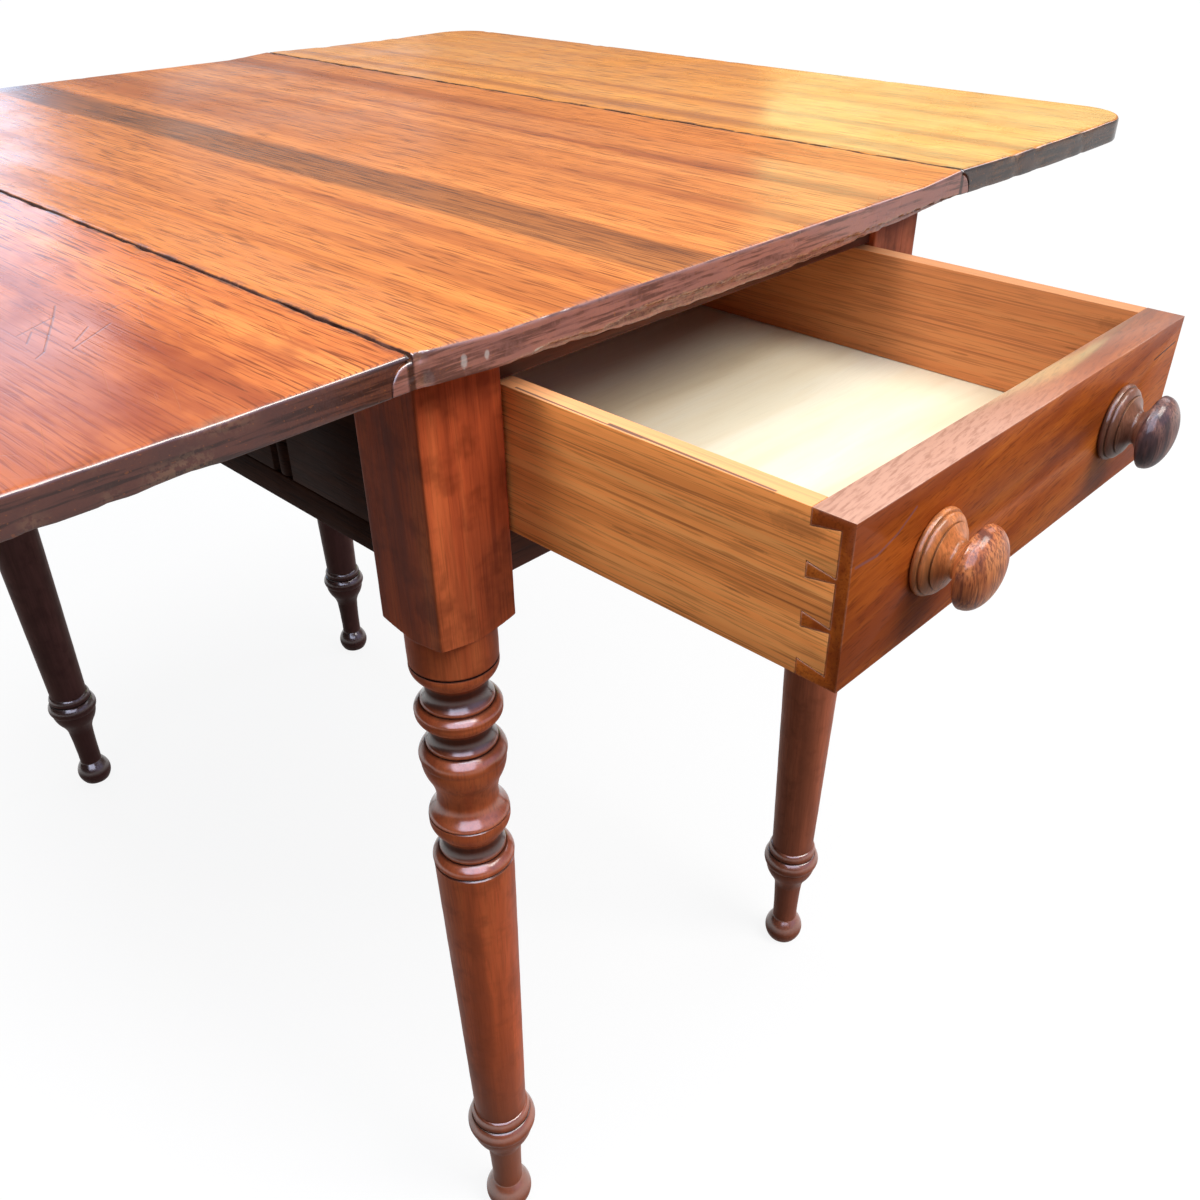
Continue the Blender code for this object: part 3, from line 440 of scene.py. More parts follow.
def shade_of(colour, factor):
    """A darker shade of a colour, or a lighter one for a factor above one."""
    return tuple(factor * c for c in colour)


class WoodFinish:
    """A material under construction: its tree, its grain position and the colour so far."""

    def __init__(self, name, grain, dark, middle, light, band=0.03, line=0.003, line_start=0.42,
                 stretch=25.0, waver=0.012, line_depth=0.5, pore_depth=0.5, place=(0.0, 0.0, 0.0)):
        self.material, self.tree, self.shader = new_material(name)
        spot = add_node(self.tree, "ShaderNodeTexCoord").outputs
        self.point, self.normal = spot["Object"], spot["Normal"]
        self.vector = add_node(self.tree, "ShaderNodeMapping", {
            "Vector": self.point, "Rotation": grain, "Location": place,
        }).outputs[0]
        self.grain = use_group(
            self.tree, plank_grain, Vector=self.vector, Band_Width=band, Line_Width=line,
            Line_Start=line_start, Stretch=stretch, Waver=waver,
        )
        low = remap(self.tree, self.grain["Bands"], 0.0, 0.5)
        high = remap(self.tree, self.grain["Bands"], 0.5, 1.0)
        self.colour = mix(self.tree, high, mix(self.tree, low, dark, middle), light)
        self.paint(self.grain["Lines"], dark, line_depth)
        self.paint(self.grain["Pores"], shade_of(dark, 0.45), pore_depth)
        self.height = 0.5
        self.sink(self.grain["Lines"], 0.5)
        self.sink(self.grain["Pores"], 0.6)

    def sink(self, mask, depth):
        """Presses the surface in where the mask is high."""
        self.height = maths(self.tree, "MULTIPLY_ADD", mask, -depth, self.height)

    def paint(self, mask, colour, depth=1.0):
        """Lays a colour over the finish where the mask is high."""
        amount = times(self.tree, mask, depth)
        self.colour = mix(self.tree, amount, self.colour, colour)

    def wear(self, colour, width, patch, depth):
        mask = use_group(self.tree, edge_wear, Vector=self.vector, Width=width, Patch_Size=patch)["Wear"]
        self.paint(mask, colour, depth)

    # dirt and painted shade in closed-in corners, from the corner group
    def dirt(self, colour, reach, patch, depth):
        mask = use_group(self.tree, corner_dirt_and_shade, Vector=self.vector, Reach=reach, Patch_Size=patch)["Dirt"]
        self.paint(mask, colour, depth)

    def scratch(self, colour, width, sparseness, depth):
        lines = use_group(self.tree, hairlines, Vector=self.point, Width=width, Sparseness=sparseness)
        self.paint(lines["Scratches"], colour, depth)
        self.sink(lines["Scratches"], 0.8)

    def blotches(self, colour, size, low, high, depth, squeeze=(1.0, 1.0, 1.0)):
        cloud = noise(self.tree, scaled(self.tree, self.vector, squeeze), 1 / size, 4.0, 0.6)
        self.paint(remap(self.tree, cloud, low, high), colour, depth)

    def mark(self, colour, centre, size, depth=1.0):
        """A knot, stain or spot: an uneven ellipsoid of colour round a place on the piece."""
        away = vector_maths(self.tree, "SUBTRACT", self.point, centre)
        away = vector_maths(self.tree, "DIVIDE", away, size)
        length = measure(self.tree, "LENGTH", away)
        ragged = noise(self.tree, self.point, 260.0, 3.0, 0.6)
        length = maths(self.tree, "ADD", length, maths(self.tree, "MULTIPLY_ADD", ragged, 1.0, -0.5))
        self.paint(remap(self.tree, length, 1.0, 0.5), colour, depth)

    def score(self, colour, start, end, width, depth=1.0):
        """A scored line from one place to another."""
        run = Vector(end) - Vector(start)
        away = vector_maths(self.tree, "SUBTRACT", self.point, start)
        share = measure(self.tree, "DOT_PRODUCT", away, run / run.length_squared)
        share = maths(self.tree, "ADD", share, 0.0, clamp=True)
        gap = measure(self.tree, "DISTANCE", away, resized(self.tree, run, share))
        mask = remap(self.tree, gap, width, 0.4 * width)
        self.paint(mask, colour, depth)
        self.sink(mask, 0.9)

    def facing_up(self, low, high):
        """One where the surface faces up, nought where it stands upright."""
        return remap(self.tree, axis(self.tree, self.normal, "Z"), low, high)

    def finish(self, gloss, spread, specular, bump, coat=None, coat_roughness=0.2, dull=None):
        """Links the shader. Coat and dull are masks of the thickest polish and of bare wood."""
        polish = use_group(self.tree, old_polish, Vector=self.vector, Gloss=gloss, Spread=spread)
        rough = polish["Roughness"]
        if dull:
            rough = maths(self.tree, "MAXIMUM", rough, times(self.tree, dull, UNPOLISHED))
        link = self.tree.links.new
        link(self.colour, self.shader.inputs["Base Color"])
        link(rough, self.shader.inputs["Roughness"])
        self.shader.inputs["Specular IOR Level"].default_value = specular
        if coat:
            link(coat, self.shader.inputs["Coat Weight"])
            self.shader.inputs["Coat Roughness"].default_value = coat_roughness
            self.shader.inputs["Coat IOR"].default_value = COAT_IOR
        bumps = {"Strength": bump, "Distance": RELIEF, "Height": self.height}
        link(add_node(self.tree, "ShaderNodeBump", bumps).outputs["Normal"], self.shader.inputs["Normal"])
        return self.material


print("boards along X: grain turned by", round(math.degrees(ALONG_X[2])), "degrees")

# %% [markdown]
# ## Finish of the boards
# The top and the leaves are polished mahogany. Their faces are bright orange-red, their edges dark with old
# polish and knocks, and their undersides were never polished. The piece's own normal tells face, edge and
# underside apart, so one material serves the whole board. Dirt lies along the joints, and the front arris
# has a glossy coat, because its polish is thickest there.

# %% Board finish
RAW_UNDERSIDE = (0.20, 0.085, 0.040)
BARE_WOOD = (0.46, 0.27, 0.15)
CHALK = (0.62, 0.60, 0.55)
SEAM_DIRT = (0.030, 0.012, 0.009)
SEAM_X = -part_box("left_leaf")[1].x  # where a leaf meets the top


def attribute(tree, name):
    return add_node(tree, "ShaderNodeAttribute", attribute_name=name).outputs["Fac"]


def board_finish(name, colours, edge_colour, place, streak_depth=0.62, pore_depth=0.70, extras=None,
                 late=None):
    """A polished board. Extras are painted under the edges' colour, late ones over it."""
    wood = WoodFinish(name, ALONG_Y, *colours, band=0.040, line=0.0016, stretch=50.0, waver=0.014,
                      line_depth=streak_depth, pore_depth=pore_depth, place=place)
    tree = wood.tree
    if extras:
        extras(wood)
    up = axis(tree, wood.normal, "Z")
    edge = remap(tree, maths(tree, "ABSOLUTE", up), 0.88, 0.50)
    underside = remap(tree, up, -0.3, -0.8)
    wood.paint(underside, RAW_UNDERSIDE, 0.85)
    wood.paint(edge, edge_colour, 0.92)
    along_edge = noise(tree, scaled(tree, wood.point, (0.06, 0.06, 1.0)), 420.0, 3.0, 0.6)
    streaked = times(tree, edge, remap(tree, along_edge, 0.46, 0.60))
    wood.paint(streaked, shade_of(edge_colour, 0.30), 0.80)
    near_rim = remap(tree, attribute(tree, "rim"), 0.006, 0.0)
    worn = noise(tree, wood.point, 60.0, 4.0, 0.7)
    wood.paint(times(tree, near_rim, remap(tree, worn, 0.46, 0.60)), edge_colour, 0.5)
    splinters = noise(tree, scaled(tree, wood.point, (1.0, 0.3, 1.0)), 500.0, 3.0, 0.6)
    bare = times(tree, attribute(tree, "bare"), remap(tree, splinters, 0.40, 0.56))
    wood.paint(bare, BARE_WOOD, 0.75)
    across = maths(tree, "ABSOLUTE", axis(tree, wood.point, "X"))
    from_seam = maths(tree, "ABSOLUTE", maths(tree, "SUBTRACT", across, SEAM_X))
    from_seam = maths(tree, "ADD", from_seam, maths(tree, "MULTIPLY_ADD", worn, -0.003, 0.0015))
    wood.paint(remap(tree, from_seam, 0.0026, 0.0010), SEAM_DIRT, 0.85)
    if late:
        late(wood)
    wood.scratch(shade_of(colours[1], 0.55), 0.0010, 0.79, 0.35)
    arris = times(tree, remap(tree, up, 0.15, 0.45), remap(tree, up, 0.97, 0.80))
    arris = times(tree, arris, remap(tree, axis(tree, wood.normal, "Y"), 0.10, -0.25))
    return wood.finish(0.24, 0.14, 0.36, 0.12, coat=arris, coat_roughness=0.20, dull=underside)


print("dirt lies along the joints,", round(SEAM_X * 1000), "mm from the middle")

# %% [markdown]
# Some marks belong to one board. The top is glued up from planks, one of them a darker brown, and its front
# edge has dabs of chalk. The near leaf has mottles where damp got under the polish, and knife scores. They
# could be painted on a picture of the board. Here each is a mask made from the distance to a place on the
# board, which stays sharp however near the camera comes.

# %% Marks on the boards
def brown_band(wood):
    """One darker brown plank of the glued-up top, with a wavering edge."""
    tree = wood.tree
    sway = noise(tree, scaled(tree, wood.point, (0.3, 1.0, 0.3)), 4.0, 3.0)
    middle = maths(tree, "MULTIPLY_ADD", sway, 0.014, 0.038)
    across = maths(tree, "ADD", axis(tree, wood.point, "X"), middle)
    band = remap(tree, maths(tree, "ABSOLUTE", across), 0.026, 0.017)
    streaky = times(tree, band, remap(tree, wood.grain["Lines"], 0.0, 1.0, 0.62, 1.0))
    fading = remap(tree, axis(tree, wood.point, "Y"), -0.36, 0.10, 0.75, 1.0)
    wood.paint(times(tree, streaky, fading), (0.09, 0.034, 0.018), 0.92)


# x, z, width and height of each dab of chalk
DABS = ((-.1936, .7109, .0022, .0040), (-.1809, .7105, .0018, .0028), (-.1502, .7045, .0040, .0014))


def chalk_spots(wood):
    """Dabs of chalk on the front edge, near its left end."""
    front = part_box("fixed_top")[0].y
    for x, z, wide, tall in DABS:
        wood.mark(CHALK, (x, front, z), (wide, .004, tall), 0.5)


SCORED_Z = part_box("left_leaf")[1].z - 0.0012  # the leaf is a little hollow there
# start and end of each knife score, x and y
SCORES = (
    ((-.2909, -.1363), (-.2989, -.1523)), ((-.2989, -.1523), (-.3192, -.1897)),
    ((-.3191, -.1627), (-.2976, -.1503)), ((-.3101, -.1572), (-.3095, -.1715)),
    ((-.3126, -.1622), (-.3200, -.1748)), ((-.3192, -.1897), (-.3247, -.1947)),
    ((-.2932, -.1740), (-.3047, -.1870)), ((-.2847, -.1771), (-.3093, -.1948)),
    ((-.2631, -.1543), (-.2808, -.1604)),
)


def smudges(wood):
    """A darker outer edge, mottles where damp got under the polish, and old knife scores."""
    across = axis(wood.tree, wood.point, "X")
    wood.paint(remap(wood.tree, across, -0.255, -0.335), (0.34, 0.090, 0.045), 0.60)
    wood.blotches((0.28, 0.054, 0.022), 0.040, 0.48, 0.68, 0.60, (1.0, 0.45, 1.0))
    for start, end in SCORES:
        wood.score((0.14, 0.05, 0.03), (*start, SCORED_Z), (*end, SCORED_Z), 0.0007, 0.60)


top_finish = board_finish(
    "polished_top", ((0.42, 0.112, 0.028), (0.72, 0.235, 0.054), (0.86, 0.305, 0.076)),
    (0.300, 0.135, 0.112), (0.0, 0.0, 0.0), extras=brown_band, late=chalk_spots,
)
near_leaf_finish = board_finish(
    "polished_leaf_left", ((0.36, 0.080, 0.024), (0.69, 0.200, 0.050), (0.82, 0.278, 0.072)),
    (0.085, 0.032, 0.026), (3.0, 1.0, 0.5), streak_depth=0.70, pore_depth=0.80, extras=smudges,
)
far_leaf_finish = board_finish(
    "polished_leaf_right", ((0.52, 0.172, 0.030), (0.87, 0.325, 0.052), (0.94, 0.390, 0.072)),
    (0.022, 0.011, 0.011), (7.0, 4.0, 1.5), streak_depth=0.55,
)
print("board finishes:", top_finish.name, near_leaf_finish.name, far_leaf_finish.name)

# %% [markdown]
# ## Finishes of the legs, the frame and the drawer
# The legs are a deeper red-brown under a thick polish, with dirt and painted shade in the coves, painted
# light on the turning below the block, and feet that darken to brown. The back legs have a darker copy of
# the finish, painted shade for their place under the table, and the right front leg a copy in its own
# shade.
# The frame inside the table was stained almost black and never polished. The drawer sides are plain
# straight-grained wood, the front is figured, and the bottom is a new sheet of pale plywood.

# %% Leg finishes
def simple_finish(name, grain, colours, surface, wear=None, dirt=None, coat=0.0, coat_roughness=0.16,
                  extras=None, **grain_values):
    """A wood finish; surface is gloss, spread, specular level and relief. A coat shows on what faces up."""
    wood = WoodFinish(name, grain, *colours, **grain_values)
    if extras:
        extras(wood)
    # dirt and painted shade in the corners, from the corner group
    if dirt:
        wood.dirt(*dirt)
    if wear:
        wood.wear(*wear)
    mask = times(wood.tree, wood.facing_up(0.05, 0.50), coat) if coat else None
    return wood.finish(*surface, coat=mask, coat_roughness=coat_roughness)


def turned_finish(name, colours, foot):
    """The finish of a leg: smoky, painted lighter below the block, near black with dirt and painted shade
    in the coves, and darker and browner at the foot.
    """

    def leg_marks(wood):
        smoky = noise(wood.tree, wood.point, 45.0, 3.0, 0.6)
        wood.paint(remap(wood.tree, smoky, 0.45, 0.70), shade_of(colours[0], 0.45), 0.55)
        height = axis(wood.tree, wood.point, "Z")
        # painted light: the turning is made lighter than the block, whose face gets more of the front lamp
        wood.paint(remap(wood.tree, height, 0.57, 0.54), shade_of(colours[2], 1.3), 0.22)
        # dirt and painted shade: near black in the coves and grooves
        wood.paint(attribute(wood.tree, "cove"), (0.024, 0.009, 0.008), 0.86)
        wood.paint(remap(wood.tree, height, 0.24, 0.06), foot, 0.70)

    rubbed = tuple(min(1.0, 1.25 * c + 0.1) for c in colours[2])
    return simple_finish(
        name, ALONG_Z, colours, wear=(rubbed, 0.0010, 0.05, 0.30),
        dirt=((0.020, 0.008, 0.006), 0.020, 0.03, 0.9), surface=(0.42, 0.10, 0.04, 0.08), coat=1.0,
        coat_roughness=0.20, band=0.02, line=0.0020, stretch=16.0, line_depth=0.35, pore_depth=0.25,
        extras=leg_marks,
    )


# The right front leg and the back legs take the same finish in other shades, which stand in for the light
# each of them is in: the back legs' darker copy is painted shade, for their place under the table.
near_leg_finish = turned_finish(
    "turned_leg_near", ((0.31, 0.055, 0.020), (0.57, 0.108, 0.034), (0.69, 0.160, 0.050)),
    (0.17, 0.066, 0.036),
)
right_leg_finish = turned_finish(
    "turned_leg_right", ((0.21, 0.058, 0.028), (0.44, 0.122, 0.058), (0.55, 0.17, 0.08)),
    (0.22, 0.066, 0.036),
)
shaded_leg_finish = turned_finish(
    "turned_leg_shaded", ((0.070, 0.031, 0.025), (0.145, 0.061, 0.049), (0.21, 0.09, 0.07)),
    (0.08, 0.034, 0.027),
)
print("leg finishes:", near_leg_finish.name, right_leg_finish.name, shaded_leg_finish.name)

# %% [markdown]
# The drawer's sides have knots and dark flecks, and their top edges have split along the grain. The top
# edge of its front is rubbed pale where hands push it shut, with a painted sheen that grows towards its
# left end, and it has two scratches. These are masks by distance too, placed from the corners of the
# solids, so that they stay on the drawer.

# %% Marks on the drawer
SIDE_BOARD = 0.011  # thickness of a drawer side
# y, distance below the top edge, length, height and depth of each knot or dark fleck
KNOTS = (
    (-.452, .010, .018, .009, .40), (-.432, .028, .012, .0012, .7), (-.425, .052, .009, .0011, .7),
    (-.405, .020, .026, .0010, .5), (-.360, .048, .008, .0010, .6), (-.300, .058, .006, .0010, .5),
    (-.385, .062, .010, .0010, .5), (-.340, .030, .012, .0008, .4),
)
SPLITS = ((-.44, -.35, .0013), (-.37, -.29, .0010), (-.27, -.20, .0009))  # y from, y to, width


def side_marks(wood):
    """Dark grain lines, a pale top edge, a darker right-hand side, knots, and splits along the top."""
    wood.paint(wood.grain["Lines"], (0.28, 0.072, 0.020), 0.62)
    wood.paint(wood.facing_up(0.6, 0.9), (0.80, 0.46, 0.24), 0.55)
    across = axis(wood.tree, wood.point, "X")
    wood.paint(remap(wood.tree, across, 0.10, 0.14), (0.36, 0.150, 0.075), 0.55)
    side_left, side_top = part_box("drawer_side_left")[0].x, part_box("drawer_side_left")[1].z
    for y, drop, long, tall, depth in KNOTS:
        for x in (side_left, -side_left - SIDE_BOARD):
            wood.mark((0.13, 0.045, 0.02), (x, y, side_top - drop), (.004, long, .6 * tall), .7 * depth)
    for y0, y1, width in SPLITS:
        start, end = (side_left + .0010, y0, side_top - .0006), (side_left + .0022, y1, side_top - .0002)
        wood.score((0.10, 0.06, 0.06), start, end, width, 0.85)


# how far in from the left end, and how far below the top edge
CURVED_SCRATCH = ((.003, .020), (.018, .021), (.032, .017), (.044, .010))


def front_marks(wood):
    """A top edge rubbed pale, with a painted sheen towards its left end, a curved scratch near the left end
    and a straight one near the right.
    """
    wood.blotches((0.14, 0.030, 0.012), 0.05, 0.50, 0.72, 0.40, (0.3, 0.22, 1.0))
    # the top edge is rubbed pale, and paler still towards the left end as a painted sheen
    sheen_towards_left = remap(wood.tree, axis(wood.tree, wood.point, "X"), 0.07, -0.06, 0.25, 0.85)
    rubbed = times(wood.tree, wood.facing_up(0.5, 0.9), sheen_towards_left)
    wood.paint(rubbed, (0.62, 0.35, 0.25))
    wood.paint(times(wood.tree, rubbed, wood.grain["Bands"]), (0.36, 0.16, 0.10), 0.45)
    wood.paint(times(wood.tree, rubbed, wood.grain["Lines"]), (0.26, 0.10, 0.06), 0.60)
    low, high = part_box("drawer_front")
    arc = [(low.x + along, low.y, high.z - drop) for along, drop in CURVED_SCRATCH]
    for start, end in zip(arc, arc[1:]):
        wood.score((0.20, 0.09, 0.09), start, end, 0.0010, 0.6)
    start, end = (high.x - .030, low.y, high.z - .016), (high.x - .004, low.y, high.z - .013)
    wood.score((0.06, 0.02, 0.015), start, end, 0.0007)


print("drawer sides:", len(KNOTS), "knots and", len(SPLITS), "splits")

# %% Frame and drawer finishes
frame_finish = simple_finish(
    "stained_frame", ALONG_Y, ((0.018, 0.008, 0.006), (0.040, 0.016, 0.010), (0.080, 0.030, 0.017)),
    wear=((0.16, 0.07, 0.04), 0.0012, 0.02, 0.4), dirt=((0.008, 0.006, 0.005), 0.015, 0.03, 0.7),
    surface=(0.6, 0.2, 0.02, 0.25), band=0.02, line=0.003, stretch=18.0,
)
end_rail_finish = simple_finish(
    "stained_end_rail", ALONG_X, ((0.06, 0.020, 0.012), (0.12, 0.036, 0.018), (0.19, 0.060, 0.026)),
    wear=((0.40, 0.17, 0.10), 0.0012, 0.015, 0.55), dirt=((0.015, 0.008, 0.007), 0.015, 0.03, 0.7),
    surface=(0.5, 0.2, 0.10, 0.2), band=0.02, line=0.003, stretch=18.0,
)
drawer_side_finish = simple_finish(
    "drawer_side_wood", ALONG_Y, ((0.86, 0.285, 0.070), (1.00, 0.350, 0.090), (1.00, 0.390, 0.110)),
    wear=((0.86, 0.54, 0.30), 0.0012, 0.04, 0.35), dirt=((0.12, 0.040, 0.018), 0.012, 0.04, 0.6),
    surface=(0.5, 0.16, 0.10, 0.15), band=0.006, line=0.0015, line_start=0.50, stretch=180.0, waver=0.002,
    line_depth=0.6, pore_depth=0.5, extras=side_marks,
)
drawer_front_finish = simple_finish(
    "figured_drawer_front", (0.0, 0.12, math.pi / 2 - 0.10),
    ((0.27, 0.052, 0.009), (0.41, 0.092, 0.013), (0.50, 0.130, 0.019)),
    wear=((0.80, 0.52, 0.40), 0.0014, 0.06, 0.45), dirt=((0.05, 0.015, 0.010), 0.01, 0.03, 0.7),
    surface=(0.45, 0.12, 0.02, 0.10), coat=0.8, band=0.016, line=0.0014, stretch=16.0, waver=0.02,
    line_depth=0.45, pore_depth=0.45, extras=front_marks,
)
plywood_finish = simple_finish(
    "pale_plywood", ALONG_X, ((0.72, 0.62, 0.42), (0.78, 0.70, 0.50), (0.80, 0.74, 0.56)),
    dirt=((0.70, 0.55, 0.36), 0.02, 0.05, 0.4),
    surface=(0.6, 0.1, 0.2, 0.08), band=0.03, line=0.002, stretch=9.0, waver=0.06, line_depth=0.14,
    pore_depth=0.05,
)
print("frame finishes:", frame_finish.name, end_rail_finish.name)
print("drawer finishes:", drawer_side_finish.name, drawer_front_finish.name, plywood_finish.name)

# %% [markdown]
# The knobs have strong streaks that run nearly upright across their heads, and their stepped bases are
# painted paler, a painted highlight where light catches them. The near knob is a warm brown and the far one
# almost black. One function makes both finishes, since they differ only in their colours.

# %% Knob finishes
def knob_finish(name, colours, base_highlight):
    """Streaked wood, with a base painted paler, a painted highlight where light catches it."""

    def base(wood):
        out = axis(wood.tree, wood.point, "Y")
        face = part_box("drawer_front")[0].y
        # painted highlight: the base is made paler where light catches it
        wood.paint(remap(wood.tree, out, face - .020, face - .013), base_highlight, 0.32)

    return simple_finish(
        name, (math.pi / 2, 0.3, 0.15), colours, wear=((0.74, 0.36, 0.18), 0.0010, 0.02, 0.4),
        dirt=((0.05, 0.018, 0.010), 0.004, 0.02, 0.6), surface=(0.42, 0.12, 0.10, 0.10), coat=0.4,
        band=0.007, line=0.0010, stretch=22.0, waver=0.006, line_depth=0.85, extras=base,
    )


KNOB_FINISH = {
    "left": knob_finish(
        "turned_knob_near", ((0.15, 0.036, 0.016), (0.47, 0.135, 0.044), (0.66, 0.230, 0.076)),
        (0.92, 0.36, 0.110),
    ),
    "right": knob_finish(
        "turned_knob_far", ((0.055, 0.030, 0.032), (0.170, 0.080, 0.068), (0.30, 0.15, 0.11)),
        (0.40, 0.15, 0.055),
    ),
}
print("knob finishes:", *(finish.name for finish in KNOB_FINISH.values()))

# %% [markdown]
# ## Brass and steel
# The hinges are cast brass gone brown, with brighter metal on the edges. The pins and screws are steel with
# rust in the corners. Metal has no grain, so these use noise for the tarnish and the same wear group.

# %% Metal finishes
def metal_finish(name, bright, dull, crust, roughness):
    made, tree, shader = new_material(name)
    spot = add_node(tree, "ShaderNodeTexCoord").outputs["Object"]
    cloud = noise(tree, spot, 90.0, 5.0, 0.65)
    colour = mix(tree, remap(tree, cloud, 0.35, 0.65), bright, dull)
    rust = use_group(tree, corner_dirt_and_shade, Vector=spot, Reach=0.004, Patch_Size=0.006)["Dirt"]
    colour = mix(tree, rust, colour, crust)
    wear = use_group(tree, edge_wear, Vector=spot, Width=0.0006, Patch_Size=0.008)["Wear"]
    colour = mix(tree, wear, colour, tuple(min(1.0, 1.3 * c) for c in bright))
    tree.links.new(colour, shader.inputs["Base Color"])
    rough = use_group(tree, old_polish, Vector=spot, Gloss=roughness, Spread=0.25, Patch_Size=0.01)
    tree.links.new(rough["Roughness"], shader.inputs["Roughness"])
    tree.links.new(remap(tree, rust, 0.2, 0.8, 1.0, 0.2), shader.inputs["Metallic"])
    pits = add_node(tree, "ShaderNodeBump", {"Strength": 0.15, "Distance": 0.0002, "Height": cloud})
    tree.links.new(pits.outputs["Normal"], shader.inputs["Normal"])
    return made


brass_finish = metal_finish(
    "old_brass_plate", (0.62, 0.42, 0.16), (0.30, 0.18, 0.07), (0.06, 0.045, 0.02), 0.36
)
steel_finish = metal_finish(
    "dull_steel", (0.42, 0.41, 0.40), (0.18, 0.165, 0.155), (0.10, 0.045, 0.02), 0.42
)
print("metal finishes:", brass_finish.name, steel_finish.name)

# %% [markdown]
# ## Putting a piece in its place
# A finished piece rides on a body of the frame and stands for one or more of its solids. Smooth shading
# with sharp edges kept above an angle suits both flat and turned wood.

# %% Placing helpers
LOOSE = 1e-5  # metres within which the triangles of a solid share a point
FLAT, BEND = math.radians(0.5), math.radians(35)  # faces that are one, and edges that are eased


def as_piece(name, mesh, material, *nodes, slot, sharp=40):
    """Makes an object of the mesh and puts it in place of these solids."""
    piece = placed(name, mesh)
    mesh.materials.clear()
    mesh.materials.append(material)
    mesh.polygons.foreach_set("use_smooth", [True] * len(mesh.polygons))
    mesh.set_sharp_from_angle(angle=math.radians(sharp))
    mesh.update()
    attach(piece, BODY_OF[nodes[0]])
    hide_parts(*nodes)
    return piece


def softened(node, width):
    """A copy of a solid with its loose triangles merged and its sharp edges eased."""
    shape = bmesh.new()
    shape.from_mesh(frame["nodes"][node].data)
    bmesh.ops.remove_doubles(shape, verts=shape.verts, dist=LOOSE)
    bmesh.ops.dissolve_limit(shape, angle_limit=FLAT, verts=shape.verts, edges=shape.edges)
    edges = [e for e in shape.edges if e.is_manifold and e.calc_face_angle(0) > BEND]
    bmesh.ops.bevel(shape, geom=edges, offset=width, offset_type="OFFSET", segments=2, profile=0.5,
                    affect="EDGES", clamp_overlap=True)
    bmesh.ops.triangulate(shape, faces=[f for f in shape.faces if len(f.verts) > 4])
    mesh = bpy.data.meshes.new(node)
    shape.to_mesh(mesh)
    shape.free()
    return mesh


print("bodies to ride on:", ", ".join(sorted(set(BODY_OF.values()))))

# %% [markdown]
# ## The boards
# A board could be the solid with a bevel, but an old edge is never even: it is rounded by wear, nicked and
# chipped. So each board is made as two skins over one grid, the polished face and the underside, joined by
# an edge strip. The grid is fine near the edges, where the wear is, and the chips are small scoops out of
# it.

# %% Board sections
top_low, top_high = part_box("fixed_top")
leaf_low, leaf_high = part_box("right_leaf")
pin_low, pin_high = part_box("hinge_pin_right_front")
PIN_X = (pin_low.x + pin_high.x) / 2
PIN_Z = (pin_low.z + pin_high.z) / 2
BOARD = 0.016  # thickness
TOP_SAG, LEAF_SAG = 0.008, 0.0015  # hollow across the fixed top and across a leaf
JOINT_STEP = 0.003  # small step from the face down to the quarter round
ROUND = top_high.z - JOINT_STEP - PIN_Z  # radius of the quarter round
HOLLOW = ROUND + 0.0006  # radius of the leaf's hollow over it
POCKET_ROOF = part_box("hinge_top_plate_right_front")[1].z
UNDER = top_high.z - BOARD
HINGES = [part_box(f"hinge_top_plate_right_{end}") for end in ("front", "back")]
POCKET_EASE = 0.0003  # room round a hinge plate
POCKET_EDGES = [
    y + s for low, high in HINGES for y in (low.y, high.y) for s in (-.0004, -.0002, .0002, .0004)
]


def in_pocket(y):
    """Where a hinge is let into the underside."""
    return np.any([(y > low.y - POCKET_EASE) & (y < high.y + POCKET_EASE) for low, high in HINGES], axis=0)


def ends_and_middle(low, high, step, closer=()):
    """Stations from low to high, close together at the ends and at any extra places."""
    near = np.array([0, .0003, .0007, .0012, .0018, .0026, .0038, .0055, .008, .0115, .016])
    middle = np.arange(low + .021, high - .021, step)
    return np.unique(np.concatenate([low + near, middle, high - near, np.array(closer, float)]).round(6))


print("boards", round(BOARD * 1000), "mm thick, pins", round(PIN_X * 2000), "mm apart")

# %% Skins
BARE_DEPTH = 0.0024  # a chip this deep shows bare wood


